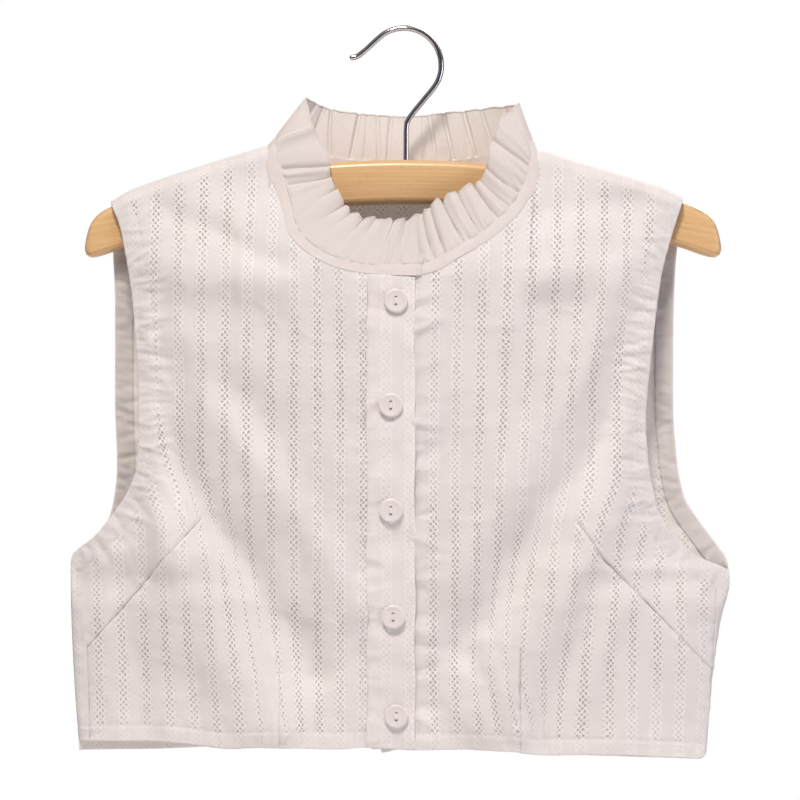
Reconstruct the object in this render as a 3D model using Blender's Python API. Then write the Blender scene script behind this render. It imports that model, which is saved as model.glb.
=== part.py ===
"""A cropped sleeveless dickey blouse with a ruffled stand collar, hung on a wooden hanger.

Metres, +Z up. The origin is on the rail: the inside of the hook's highest point. The front faces -Y, and
right and left in names are the wearer's, so the right front lies at -X. Each cloth piece is a flat outline
in X and Z that is pushed out to its depth in Y by a function of its place, and then given its thickness.
"""

import math

import bmesh
import bpy
import numpy as np
from mathutils import Vector

# ---------------------------------------------------------------- driving dimensions
CLOTH = 0.0012  # wall of the fronts and the back
FACING_CLOTH = 0.0010
PLACKET_CLOTH = 0.0016
BAND_CLOTH = 0.0014
RUFFLE_CLOTH = 0.0010
SEAM = 0.0003  # gap left where two pieces are sewn together
SEAM_HALF = 0.00045  # from the seams' plane to the middle of the cloth's edge
SMOOTH_ANGLE = 60  # degrees; sharper edges than this keep their crease in the shading

FACING_WIDTH = 0.0115
FACING_FOOT = -0.3245  # Z where the facings end at the side seams
FACING_GAP = 0.0007
FACING_COLUMNS = (0.045, 0.33, 0.67, 1.0)  # shares of the width, starting in from the panel's own edge
BAND_HEIGHT = 0.0070
BAND_START = (  # the collar's row, and how far above the neck seam the band starts: more at the shoulders
    (0.0, 0.0003),
    (5.4, 0.0003),
    (6.4, 0.0009),
    (8.6, 0.0009),
    (9.4, 0.0003),
    (13.6, 0.0003),
    (14.4, 0.0009),
    (15.8, 0.0009),
    (16.6, 0.0003),
    (23.0, 0.0003),
)
BAND_LAST_STATION = 0.985  # share of the way round, one more station beside the placket
NECK_CLEAR = 0.0007  # from the neck seam out to the panels' cut edges, which clears the band's thickness

RUFFLE_WAVES = 40
RUFFLE_DRIFT = ((0.90, 2, 0.1), (0.25, 7, 0.6))  # waves by which the folds wander, times round, start
RUFFLE_UNEVEN = (0.15, 5, 0.2)  # share by which the folds' height wanders, times round, start
RUFFLE_POINTS_PER_WAVE = 6
RUFFLE_LEVELS = (0.0, 0.34, 0.68, 1.0)
RUFFLE_FOOT_WAVE = 0.0005
RUFFLE_FOOT_GAP = 0.0008
RUFFLE_EDGE_WAVE = 0.0027

SHOULDER_ROUND = 0.0080  # height over which the cloth bends across the shoulder
LENS_POWER = 2.2  # fullness of the panels between the centre and the edge
QUIET_BELOW, QUIET_ABOVE = -0.362, -0.335  # Z between which the armhole begins, where folds stay off the edge
QUIET_LENS = (0.08, 0.40)  # fullness over which the folds come in beside the armhole

PLACKET_LEFT, PLACKET_RIGHT = -0.0224, 0.0066  # X of the placket's sewn edge and of its free edge
UNDERLAP = -0.0200  # X to which the left front runs on behind the placket
UNDERLAP_STEP = (0.0078, 0.0150)  # X where the left front is fully behind the placket, and where it is out
UNDERLAP_DEPTH = PLACKET_CLOTH / 2 + CLOTH / 2 + 0.0005
PLACKET_TOP = ((-0.0224, -0.1541), (0.0, -0.1556), (0.0066, -0.1560))  # X and Z
PLACKET_FOOT = ((-0.0224, -0.4496), (0.0066, -0.4515))
PLACKET_ROWS = 22
PLACKET_COLUMNS = (0.0, 0.33, 0.67, 1.0)

BUTTON_RADIUS = 0.0075
BUTTON_THICK = 0.0028
BUTTON_RIM = 0.0012
BUTTON_DISH = 0.0006
BUTTON_HOLE_RADIUS = 0.0009
BUTTON_HOLE_SPACING = 0.0040
BUTTON_GAP = 0.0004
BUTTON_SIDES = 16
HOLE_SIDES = 8
BUTTONS = (  # X and Z of each, from the top
    (-0.0050, -0.1707),
    (-0.0082, -0.2356),
    (-0.0082, -0.3011),
    (-0.0069, -0.3673),
    (-0.0050, -0.4297),
)

BAR_THICK = 0.0120
BAR_ROUND = 0.0050
BAR_STATIONS = 19
BAR_CENTRE_X = -0.0006
BAR_TOP, BAR_TOP_BEND = -0.0813, 0.860  # Z at the centre, and the fall for each square metre of X
BAR_FOOT, BAR_FOOT_BEND = -0.1093, 0.890
BAR_END = (  # the rounded end, from the top edge to the bottom one: distance from the centre, Z
    (0.1821, -0.1102),
    (0.1877, -0.1128),
    (0.1914, -0.1153),
    (0.1945, -0.1184),
    (0.1968, -0.1220),
    (0.1985, -0.1266),
    (0.1997, -0.1315),
    (0.2004, -0.1366),
    (0.2000, -0.1394),
    (0.1984, -0.1416),
    (0.1958, -0.1427),
    (0.1925, -0.1423),
)

WIRE_RADIUS = 0.00175
HOOK_RADIUS = 0.0235  # to the wire's centre
HOOK_ARC = (135, -27)  # degrees, from the tip's side over the top to the stem's side
HOOK_TIP = ((-0.0343, -0.0169), (-0.0300, -0.0163), (-0.0258, -0.0134))
HOOK_STEM = ((0.0120, -0.0441), (0.0048, -0.0531), (0.0018, -0.0585), (0.0013, -0.0660), (0.0013, -0.0950))
STEM_X = 0.0013
STEM_BORE_FOOT = -0.0955
STEM_BORE_ABOVE = 0.005  # how far the bore's cutter stands out of the bar
BORE_SIDES = 12
ARC_POINTS, WIRE_POINTS = 15, 56

# ---------------------------------------------------------------- outlines: X and Z
SHOULDER = {  # from the neck out to the tip
    "right": (
        (-0.0857, -0.0727),
        (-0.0970, -0.0757),
        (-0.1172, -0.0819),
        (-0.1373, -0.0882),
        (-0.1562, -0.0945),
        (-0.1733, -0.1012),
        (-0.1845, -0.1078),
    ),
    "left": (
        (0.0842, -0.0752),
        (0.1071, -0.0819),
        (0.1285, -0.0882),
        (0.1493, -0.0945),
        (0.1672, -0.1005),
        (0.1755, -0.1054),
    ),
}
EDGE_FRONT = {  # armhole and side seam, from the shoulder tip down: Z and X
    "right": (
        (-0.1078, -0.1845),
        (-0.1235, -0.1783),
        (-0.1348, -0.1758),
        (-0.1594, -0.1716),
        (-0.1896, -0.1686),
        (-0.2237, -0.1663),
        (-0.2451, -0.1659),
        (-0.2715, -0.1670),
        (-0.2867, -0.1716),
        (-0.3056, -0.1840),
        (-0.3182, -0.1947),
        (-0.3308, -0.2090),
        (-0.3396, -0.2098),
        (-0.3711, -0.2092),
        (-0.4215, -0.2066),
        (-0.4467, -0.2044),
    ),
    "left": (
        (-0.1054, 0.1755),
        (-0.1323, 0.1670),
        (-0.1556, 0.1613),
        (-0.1868, 0.1567),
        (-0.2129, 0.1540),
        (-0.2444, 0.1518),
        (-0.2703, 0.1531),
        (-0.2879, 0.1560),
        (-0.3056, 0.1613),
        (-0.3207, 0.1724),
        (-0.3318, 0.1859),
        (-0.3395, 0.2035),
        (-0.3460, 0.2050),
        (-0.3698, 0.1997),
        (-0.4013, 0.1948),
        (-0.4586, 0.1900),
    ),
}
EDGE_BACK = {
    "right": (
        (-0.1078, -0.1845),
        (-0.1160, -0.1850),
        (-0.1380, -0.1840),
        (-0.1695, -0.1827),
        (-0.2325, -0.1827),
        (-0.2734, -0.1814),
        (-0.2955, -0.1835),
        (-0.3081, -0.1872),
        (-0.3180, -0.1948),
        (-0.3260, -0.2050),
        (-0.3325, -0.2090),
        (-0.3396, -0.2098),
        (-0.3711, -0.2092),
        (-0.4215, -0.2066),
        (-0.4530, -0.2044),
    ),
    "left": (
        (-0.1054, 0.1755),
        (-0.1140, 0.1754),
        (-0.1443, 0.1720),
        (-0.1695, 0.1707),
        (-0.2325, 0.1701),
        (-0.2703, 0.1726),
        (-0.2829, 0.1745),
        (-0.2955, 0.1780),
        (-0.3081, 0.1859),
        (-0.3207, 0.1953),
        (-0.3330, 0.2035),
        (-0.3460, 0.2050),
        (-0.3698, 0.1997),
        (-0.4013, 0.1948),
        (-0.4590, 0.1900),
    ),
}
HEM_FRONT = {  # from the centre front to the side
    "right": (
        (-0.0227, -0.4496),
        (-0.0460, -0.4505),
        (-0.0800, -0.4492),
        (-0.1074, -0.4505),
        (-0.1279, -0.4486),
        (-0.1550, -0.4464),
        (-0.2044, -0.4467),
    ),
    "left": (
        (-0.0200, -0.4511),
        (0.0082, -0.4511),
        (0.0658, -0.4520),
        (0.0863, -0.4549),
        (0.1342, -0.4549),
        (0.1547, -0.4561),
        (0.1900, -0.4586),
    ),
}
HEM_BACK = (
    (-0.2044, -0.4530),
    (-0.1651, -0.4530),
    (-0.1077, -0.4511),
    (-0.0164, -0.4498),
    (-0.0151, -0.4560),
    (0.0076, -0.4511),
    (0.0863, -0.4560),
    (0.1900, -0.4590),
)

# ---------------------------------------------------------------- depths
# Z, and the distance out of the seams' plane.
DEPTH_CENTRE = {
    "front": (
        (-0.4550, 0.0210),
        (-0.3800, 0.0290),
        (-0.3100, 0.0340),
        (-0.2200, 0.0370),
        (-0.1600, 0.0380),
        (-0.1450, 0.0370),
        (-0.1340, 0.0340),
        (-0.1180, 0.0260),
        (-0.1030, 0.0165),
        (-0.0900, 0.0120),
        (-0.0700, 0.0100),
    ),
    "back": (
        (-0.4550, 0.0130),
        (-0.3000, 0.0170),
        (-0.1500, 0.0160),
        (-0.0890, 0.0140),
        (-0.0700, 0.0100),
    ),
}
DEPTH_EDGE = {
    "front": (
        (-0.4500, 0.0000),
        (-0.3620, 0.0000),
        (-0.3480, 0.0009),
        (-0.3400, 0.0017),
        (-0.3260, 0.0032),
        (-0.3120, 0.0070),
        (-0.2900, 0.0100),
        (-0.2200, 0.0125),
        (-0.1500, 0.0110),
        (-0.1150, 0.0097),
        (-0.0700, 0.0097),
    ),
    "back": (
        (-0.4500, 0.0000),
        (-0.3620, 0.0000),
        (-0.3480, 0.0009),
        (-0.3400, 0.0017),
        (-0.3260, 0.0032),
        (-0.3120, 0.0065),
        (-0.2900, 0.0090),
        (-0.2200, 0.0100),
        (-0.1150, 0.0097),
        (-0.0700, 0.0097),
    ),
}
LENS_ROUND = ((-0.4500, 0.60), (-0.3620, 0.60), (-0.3420, 1.00), (-0.0700, 1.00))

# Darts, pressed creases and folds: ends in X and Z, half width, height out of the cloth (a groove is
# negative), and whether the flat piece is cut along it first, as a narrow one needs.
FRONT_FOLDS = (
    # x1, z1, x2, z2, half width, height, cut
    (-0.1978, -0.3868, -0.1285, -0.3087, 0.0036, -0.0017, True),  # bust dart, right
    (0.1928, -0.4013, 0.1247, -0.3317, 0.0036, -0.0017, True),  # bust dart, left
    (0.1247, -0.3317, 0.1090, -0.3100, 0.0036, -0.0014, True),
    (0.0725, -0.3770, 0.0725, -0.4550, 0.0032, -0.0015, True),  # waist dart, left
    (-0.0780, -0.3930, -0.0780, -0.4520, 0.0032, -0.0010, True),  # waist dart, right
    (-0.1020, -0.1254, -0.1020, -0.2237, 0.0036, 0.0011, True),  # pressed crease, right
    (0.0879, -0.1184, 0.0879, -0.1560, 0.0036, 0.0010, True),  # pressed crease, left
    (-0.1300, -0.3050, -0.1000, -0.2900, 0.0330, 0.0040, False),  # fullness at the right bust
    (0.0850, -0.2900, 0.1120, -0.3050, 0.0330, 0.0040, False),  # fullness at the left bust
    (0.1530, -0.1680, 0.0479, -0.3837, 0.0120, 0.0030, False),  # drag fold from the left armhole
    (0.1330, -0.1700, 0.0330, -0.3500, 0.0105, -0.0024, False),
    (0.1440, -0.2350, 0.0800, -0.3700, 0.0090, -0.0018, False),
    (-0.1600, -0.2700, -0.1330, -0.3130, 0.0085, -0.0026, False),  # fold from the right armhole to the dart
    (-0.1640, -0.2950, -0.1420, -0.3330, 0.0085, 0.0022, False),
    (-0.0900, -0.1900, -0.1330, -0.2900, 0.0120, 0.0020, False),
    (0.1620, -0.3480, 0.1830, -0.3740, 0.0080, -0.0022, False),  # between the left armhole and the dart
    (0.0500, -0.3850, 0.0740, -0.4440, 0.0065, 0.0018, False),  # fan at the waist dart
    (-0.1780, -0.3600, -0.1600, -0.4500, 0.0100, -0.0020, False),
    (-0.0500, -0.3300, -0.0420, -0.4500, 0.0120, 0.0016, False),
    (0.1350, -0.3700, 0.1400, -0.4560, 0.0110, 0.0018, False),
)
BACK_FOLDS = (
    (-0.0620, -0.1100, -0.0850, -0.4500, 0.0160, 0.0024, False),
    (0.0550, -0.1100, 0.0760, -0.4550, 0.0160, 0.0024, False),
    (-0.1500, -0.2600, -0.0400, -0.3900, 0.0130, -0.0022, False),
    (0.1450, -0.2400, 0.0350, -0.3800, 0.0130, -0.0022, False),
    (0.0050, -0.1200, -0.0050, -0.4400, 0.0140, -0.0020, False),
    (-0.1400, -0.3300, -0.1450, -0.4500, 0.0110, 0.0018, False),
    (0.1400, -0.3300, 0.1350, -0.4550, 0.0110, 0.0018, False),
)

# The collar's round, from its left end (at the placket) over the left shoulder, the back and the right
# shoulder to its right end: the neck seam's X and Z, and the ruffle's free edge in X, Y and Z.
COLLAR = (
    # seam x, seam z, edge x, edge y, edge z, panel that carries it
    (0.0082, -0.1549, 0.0095, -0.0240, -0.1180, "front"),
    (0.0200, -0.1519, 0.0160, -0.0235, -0.1130, "front"),
    (0.0315, -0.1453, 0.0233, -0.0220, -0.1065, "front"),
    (0.0510, -0.1336, 0.0381, -0.0185, -0.1000, "front"),
    (0.0690, -0.1184, 0.0504, -0.0150, -0.0907, "front"),
    (0.0794, -0.1027, 0.0540, -0.0115, -0.0750, "front"),
    (0.0832, -0.0860, 0.0605, -0.0060, -0.0573, "front"),
    (0.0832, -0.0749, 0.0709, 0.0030, -0.0457, "front"),
    (0.0730, -0.0795, 0.0624, 0.0120, -0.0463, "back"),
    (0.0479, -0.0856, 0.0416, 0.0165, -0.0485, "back"),
    (0.0227, -0.0884, 0.0214, 0.0185, -0.0504, "back"),
    (0.0000, -0.0890, 0.0000, 0.0190, -0.0521, "back"),
    (-0.0246, -0.0882, -0.0227, 0.0185, -0.0510, "back"),
    (-0.0498, -0.0850, -0.0416, 0.0165, -0.0488, "back"),
    (-0.0731, -0.0780, -0.0529, 0.0120, -0.0454, "back"),
    (-0.0847, -0.0724, -0.0605, 0.0030, -0.0422, "front"),
    (-0.0840, -0.0863, -0.0573, -0.0070, -0.0610, "front"),
    (-0.0806, -0.0970, -0.0475, -0.0120, -0.0762, "front"),
    (-0.0756, -0.1128, -0.0454, -0.0160, -0.0939, "front"),
    (-0.0712, -0.1285, -0.0385, -0.0195, -0.1070, "front"),
    (-0.0586, -0.1414, -0.0315, -0.0225, -0.1170, "front"),
    (-0.0390, -0.1506, -0.0176, -0.0240, -0.1197, "front"),
    (-0.0150, -0.1542, -0.0040, -0.0242, -0.1205, "front"),
    (0.0064, -0.1549, 0.0083, -0.0240, -0.1180, "front"),
)

# Columns across a panel and heights down it, closer where the cloth bends more.
SHOULDER_COLUMNS = (0.57, 0.65, 0.73, 0.81, 0.88, 0.93, 0.965, 0.988, 0.9975, 1.0)
NECK_COLUMNS = {
    "right": (0.0, 0.06, 0.12, 0.18, 0.24, 0.30, 0.35, 0.40, 0.44, 0.469, 0.487, 0.50),
    "left": (0.0, 0.06, 0.12, 0.17, 0.22, 0.27, 0.32, 0.365, 0.41, 0.445, 0.471, 0.488, 0.50),
}
FRONT_COLUMNS = {side: (*columns, *SHOULDER_COLUMNS) for side, columns in NECK_COLUMNS.items()}
NECK_FROM = {"right": 0.0, "left": 0.12}  # the column where the neck seam starts; the underlap lies before it
NECK_TO = 0.50
COLLAR_LEFT, COLLAR_RIGHT = 7, 15  # the collar's rows at the shoulder seams
COLLAR_PLACKET = 21.68  # between the rows that the placket's sewn edge meets
BACK_SIDE = (0.0, 0.003, 0.013, 0.035, 0.065, 0.11, 0.17, 0.23, 0.29)
BACK_MIDDLE = (0.335, 0.38, 0.425, 0.475, 0.525, 0.575, 0.62, 0.665)
BACK_COLUMNS = (*BACK_SIDE, *BACK_MIDDLE, *(round(1 - u, 3) for u in BACK_SIDE[::-1]))
BACK_NECK = (0.29, 0.71)
HEIGHTS = (
    (0.0, 0.0025, 0.0075, 0.016, 0.030, 0.055, 0.095, 0.15, 0.205, 0.26, 0.315, 0.37, 0.425, 0.475)
    + (0.515, 0.55, 0.58, 0.605, 0.63, 0.65, 0.67, 0.70, 0.76, 0.83, 0.91, 1.0)
)
INDENT_POWER = 2  # how fast the armhole's shape fades towards the centre of the panel
CUT_ASIDE = (-1.5, 0, 1.5)  # where the flat piece is cut beside a narrow fold, in its half widths
CUT_REACH = 0.016  # faces whose middles lie this near the fold's line are cut


# ---------------------------------------------------------------- curves
def follow(table, s):
    """Reads a smooth curve through a table's (stop, value) rows at s. It never overshoots a row."""
    stops, values = np.array(sorted(row[:2] for row in table), dtype=float).T
    gaps = np.diff(stops)
    slopes = np.diff(values) / gaps
    inner = (slopes[1:] + slopes[:-1]) / 2
    limit = 3 * np.minimum(abs(slopes[1:]), abs(slopes[:-1]))
    inner = np.clip(inner, -limit, limit) * (slopes[1:] * slopes[:-1] > 0)
    tangents = np.concatenate([slopes[:1], inner, slopes[-1:]])
    s = np.clip(np.asarray(s, dtype=float), stops[0], stops[-1])
    i = np.clip(np.searchsorted(stops, s, side="right") - 1, 0, len(gaps) - 1)
    t, g = (s - stops[i]) / gaps[i], gaps[i]
    return (
        values[i] * (1 + 2 * t) * (1 - t) ** 2
        + values[i + 1] * t**2 * (3 - 2 * t)
        + g * tangents[i] * t * (1 - t) ** 2
        - g * tangents[i + 1] * t**2 * (1 - t)
    )


def travel(points, share):
    """The place a share of the way along a smooth curve through points."""
    points = np.array(points, dtype=float)
    way = np.concatenate([[0.0], np.cumsum(np.linalg.norm(np.diff(points, axis=0), axis=1))])
    way /= way[-1]
    return np.stack([follow(list(zip(way, column)), share) for column in points.T], axis=-1)


def step(low, high, s):
    """0 below low, 1 above high, and smooth between."""
    t = np.clip((s - low) / (high - low), 0, 1)
    return t * t * (3 - 2 * t)


# ---------------------------------------------------------------- the cloth's depth
def shoulder_height(x):
    """Z of the shoulder seams over x."""
    rows = [*SHOULDER["right"][::-1], *SHOULDER["left"]]
    return follow(rows, x)


def shoulder_seam(side, along):
    """X and Z at shares of the way from the neck out to the shoulder's tip."""
    x = travel(SHOULDER[side], np.clip(along, 0, 1))[..., 0]
    return np.stack([x, shoulder_height(x)], axis=-1)


def fold_height(folds, x, z):
    """How far the darts and folds move the cloth out at a place."""
    height = np.zeros_like(x)
    for x1, z1, x2, z2, half_width, rise, _ in folds:
        run = np.array([x2 - x1, z2 - z1])
        length = np.linalg.norm(run)
        run /= length
        forward = ((x - x1) * run[0] + (z - z1) * run[1]) / length
        beyond = np.maximum(np.maximum(-forward, forward - 1), 0) * length
        aside = (x - x1) * run[1] - (z - z1) * run[0]
        height += rise * np.exp(-(aside**2 + beyond**2) / half_width**2)
    return height


def depth(face, x, z):
    """Distance of the cloth's middle from the seams' plane, on the front or the back."""
    edges = EDGE_FRONT if face == "front" else EDGE_BACK
    half_width = np.where(x < 0, -follow(edges["right"], z), follow(edges["left"], z))
    out = np.clip(abs(x) / half_width, 0, 1)
    lens = (1 - out**LENS_POWER) ** follow(LENS_ROUND, z)
    edge, centre = follow(DEPTH_EDGE[face], z), follow(DEPTH_CENTRE[face], z)
    below = np.clip((shoulder_height(x) - z) / SHOULDER_ROUND, 0, 1)
    over_shoulder = np.sqrt(1 - (1 - below) ** 2)
    folds = FRONT_FOLDS if face == "front" else BACK_FOLDS
    by_armhole = step(QUIET_BELOW, QUIET_ABOVE, z)
    quiet_edge = over_shoulder * (by_armhole * step(*QUIET_LENS, lens) + (1 - by_armhole) * np.sqrt(lens))
    full = over_shoulder * (edge + (centre - edge) * lens)
    return SEAM_HALF + full + quiet_edge * fold_height(folds, x, z)


def surface(face, x, z, out=0.0):
    """Points of the cloth's middle, moved out by a distance along its normal."""
    turn = -1 if face == "front" else 1

    def at(px, pz):
        return np.stack([px, turn * depth(face, px, pz), pz], axis=-1)

    small = 0.0004
    along_x = at(x + small, z) - at(x - small, z)
    along_z = at(x, z + small) - at(x, z - small)
    normal = np.cross(along_x, along_z) * -turn
    normal *= np.sign(turn * normal[..., 1:2])
    normal /= np.linalg.norm(normal, axis=-1, keepdims=True)
    return at(x, z) + normal * np.asarray(out)[..., None]


# ---------------------------------------------------------------- flat outlines
def collar_way():
    """The share of the way round the neck seam at each of the collar's rows."""
    seam = np.array([row[:2] for row in COLLAR])
    way = np.concatenate([[0.0], np.cumsum(np.linalg.norm(np.diff(seam, axis=0), axis=1))])
    return way / way[-1]


def neck_seam(share):
    """X and Z of the neck seam at shares of the way round it."""
    way = collar_way()
    columns = np.array([row[:2] for row in COLLAR]).T
    return np.stack([follow(list(zip(way, column)), share) for column in columns], axis=-1)


def neck_edge(share):
    """X and Z of the panels' cut edges at the neck, moved out of the seam in its own plane."""
    small = 0.004
    ahead, behind = neck_seam(np.clip(share + small, 0, 1)), neck_seam(np.clip(share - small, 0, 1))
    run = ahead - behind
    out = np.stack([run[..., 1], -run[..., 0]], axis=-1) / np.linalg.norm(run, axis=-1, keepdims=True)
    away = neck_seam(share) - collar_edge(share)[..., ::2]
    out *= np.sign((out * away).sum(-1, keepdims=True))
    return neck_seam(share) + NECK_CLEAR * out


def neck_shares(first_row, last_row, along):
    """Shares of the way round the neck seam, at shares of the stretch between two of the collar's rows."""
    first, last = np.interp([first_row, last_row], range(len(COLLAR)), collar_way())
    return first + (last - first) * np.clip(along, 0, 1)


def front_neck_shares(side, u):
    rows = (COLLAR_PLACKET, COLLAR_RIGHT) if side == "right" else (0, COLLAR_LEFT)
    return neck_shares(*rows, (u - NECK_FROM[side]) / (NECK_TO - NECK_FROM[side]))


def back_neck_shares(u):
    return neck_shares(COLLAR_RIGHT, COLLAR_LEFT, (u - BACK_NECK[0]) / (BACK_NECK[1] - BACK_NECK[0]))


def front_flat(side, u, v):
    """X and Z on a front: u runs from the centre front to the armhole, and v from the neck to the hem."""
    neck = neck_edge(front_neck_shares(side, u))
    if side == "left":
        neck[..., 0] -= (COLLAR[0][0] - UNDERLAP) * np.clip(1 - u / NECK_FROM[side], 0, 1)
    shoulder = shoulder_seam(side, (u - NECK_TO) / (1 - NECK_TO))
    top = np.where((u < NECK_TO)[..., None], neck, shoulder)
    hem = travel(HEM_FRONT[side], u)
    return indented(top, hem, u**INDENT_POWER, EDGE_FRONT[side], SHOULDER[side][-1], HEM_FRONT[side][-1], v)


def indented(top, hem, weight, edge, tip, corner, v):
    """Strings from the top edge to the hem, bent sideways by the armhole's shape times weight."""
    flat = top + (hem - top) * v[..., None]
    edge_z = tip[1] + (corner[1] - tip[1]) * v
    straight_x = tip[0] + (corner[0] - tip[0]) * v
    flat[..., 0] += weight * (follow(edge, edge_z) - straight_x)
    return flat


def back_flat(u, v):
    """X and Z on the back: u runs from the right armhole to the left one, and v from the neck to the hem."""
    low, high = BACK_NECK
    right = shoulder_seam("right", 1 - u / low)
    neck = neck_edge(back_neck_shares(u))
    left = shoulder_seam("left", (u - high) / (1 - high))
    top = np.where((u < low)[..., None], right, np.where((u > high)[..., None], left, neck))
    hem = np.stack([follow([(0, HEM_BACK[0][0]), (1, HEM_BACK[-1][0])], u), np.zeros_like(u)], axis=-1)
    hem[..., 1] = follow(HEM_BACK, hem[..., 0])
    to_right, to_left = np.clip(1 - 2 * u, 0, 1) ** INDENT_POWER, np.clip(2 * u - 1, 0, 1) ** INDENT_POWER
    flat = indented(top, hem, to_right, EDGE_BACK["right"], SHOULDER["right"][-1], HEM_BACK[0], v)
    aside = indented(top, hem, to_left, EDGE_BACK["left"], SHOULDER["left"][-1], HEM_BACK[-1], v)
    flat[..., 0] += aside[..., 0] - (top + (hem - top) * v[..., None])[..., 0]
    return flat


# ---------------------------------------------------------------- building
def clear_scene():
    for item in list(bpy.data.objects):
        bpy.data.objects.remove(item, do_unlink=True)


def material(name, colour, roughness, metallic=0.0):
    made = bpy.data.materials.new(name)
    made.use_nodes = True
    shader = made.node_tree.nodes["Principled BSDF"]
    shader.inputs["Base Color"].default_value = (*colour, 1.0)
    shader.inputs["Roughness"].default_value = roughness
    shader.inputs["Metallic"].default_value = metallic
    return made


def place(name, bm, finish):
    """Makes a smoothly shaded object of a bmesh."""
    mesh = bpy.data.meshes.new(name)
    bm.to_mesh(mesh)
    bm.free()
    mesh.materials.append(finish)
    mesh.shade_smooth()
    mesh.set_sharp_from_angle(angle=math.radians(SMOOTH_ANGLE))
    item = bpy.data.objects.new(name, mesh)
    bpy.context.collection.objects.link(item)
    return item


def thicken(item, thick):
    wall = item.modifiers.new("cloth thickness", "SOLIDIFY")
    wall.thickness = thick
    wall.offset = 0
    wall.use_rim = True
    return item


def grid(columns, rows):
    """A flat grid with its columns' and rows' shares in each vertex's x and y."""
    bm = bmesh.new()
    bmesh.ops.create_grid(bm, x_segments=len(columns) - 1, y_segments=len(rows) - 1, size=0.5)
    for vert in bm.verts:
        column = round((vert.co.x + 0.5) * (len(columns) - 1))
        row = round((vert.co.y + 0.5) * (len(rows) - 1))
        vert.co = (columns[column], rows[row], 0)
    return bm


def shares(bm):
    return np.array([vert.co.xy for vert in bm.verts]).T


def move_points(bm, points):
    for vert, point in zip(bm.verts, points):
        vert.co = point


def lay_flat(bm, flat):
    """Puts each vertex at its X and Z."""
    move_points(bm, [(x, 0, z) for x, z in flat])


def cut_along(bm, folds):
    """Cuts the flat piece along narrow folds: on each fold's line and at both of its sides."""
    for x1, z1, x2, z2, half_width, _, cut in folds:
        if not cut:
            continue
        start, end = Vector((x1, 0, z1)), Vector((x2, 0, z2))
        run = (end - start).normalized()
        across = Vector((run.z, 0, -run.x))
        reach = (end - start).length
        for aside in CUT_ASIDE:
            near = [
                face
                for face in bm.faces
                if -half_width < (face.calc_center_median() - start).dot(run) < reach + half_width
                and abs((face.calc_center_median() - start).dot(across)) < CUT_REACH
            ]
            parts = set(near)
            for face in near:
                parts.update(face.edges, face.verts)
            point = start + across * aside * half_width
            bmesh.ops.bisect_plane(bm, geom=list(parts), dist=1e-5, plane_co=point, plane_no=across)


def cut_upright(bm, x):
    """Cuts the flat piece along a vertical line."""
    parts = [*bm.verts, *bm.edges, *bm.faces]
    bmesh.ops.bisect_plane(bm, geom=parts, dist=1e-5, plane_co=(x, 0, 0), plane_no=(1, 0, 0))


def push_out(bm, face, out=0.0):
    """Gives the flat piece its depth, and moves it out of the cloth's middle by a distance."""
    x, z = np.array([(vert.co.x, vert.co.z) for vert in bm.verts]).T
    distance = out(x) if callable(out) else np.full_like(x, out)
    move_points(bm, surface(face, x, z, distance))
    bmesh.ops.recalc_face_normals(bm, faces=bm.faces)


def behind_placket(x):
    """How far the left front sinks where it runs on behind the placket."""
    return -UNDERLAP_DEPTH * (1 - step(*UNDERLAP_STEP, x))


def make_front(side, finish):
    bm = grid(FRONT_COLUMNS[side], HEIGHTS)
    lay_flat(bm, front_flat(side, *shares(bm)))
    own = [fold for fold in FRONT_FOLDS if (fold[0] < 0) == (side == "right")]
    cut_along(bm, own)
    if side == "left":
        for x in UNDERLAP_STEP:
            cut_upright(bm, x)
    push_out(bm, "front", behind_placket if side == "left" else 0.0)
    return thicken(place(f"front_{side}", bm, finish), CLOTH)


def make_back(finish):
    bm = grid(BACK_COLUMNS, HEIGHTS)
    lay_flat(bm, back_flat(*shares(bm)))
    push_out(bm, "back")
    return thicken(place("back", bm, finish), CLOTH)


def make_placket(finish):
    bm = grid(PLACKET_COLUMNS, np.linspace(0, 1, PLACKET_ROWS))
    u, v = shares(bm)
    x = PLACKET_LEFT + (PLACKET_RIGHT - PLACKET_LEFT) * u
    top, foot = follow(PLACKET_TOP, x), follow(PLACKET_FOOT, x)
    lay_flat(bm, np.stack([x, top + (foot - top) * v], axis=-1))
    push_out(bm, "front")
    return thicken(place("placket", bm, finish), PLACKET_CLOTH)


def make_facing(face, side, finish):
    """A strip inside the armhole, made from the panel's own points, moved in."""
    edge = (EDGE_FRONT if face == "front" else EDGE_BACK)[side]
    top_z, hem_z = edge[0][0], edge[-1][0]
    rows = [top_z + (hem_z - top_z) * height for height in HEIGHTS]
    bm = grid(FACING_COLUMNS, [z for z in rows if z > FACING_FOOT] + [FACING_FOOT])
    u, z = shares(bm)
    inward = 1 if side == "right" else -1
    small = 0.0005
    slope = (follow(edge, z + small) - follow(edge, z - small)) / (2 * small)
    bend = 1 / np.sqrt(1 + slope**2)
    x = follow(edge, z) + inward * u * FACING_WIDTH * bend
    z = z - inward * u * FACING_WIDTH * bend * slope
    lay_flat(bm, np.stack([x, np.minimum(z, shoulder_height(x))], axis=-1))
    push_out(bm, face, -(CLOTH / 2 + FACING_GAP + FACING_CLOTH / 2))
    return thicken(place(f"facing_{face}_{side}", bm, finish), FACING_CLOTH)


def collar_edge(share):
    """X, Y and Z of the ruffle's free edge at shares of the way round the collar."""
    way = collar_way()
    columns = np.array([row[2:5] for row in COLLAR]).T
    return np.stack([follow(list(zip(way, column)), share) for column in columns], axis=-1)


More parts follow.
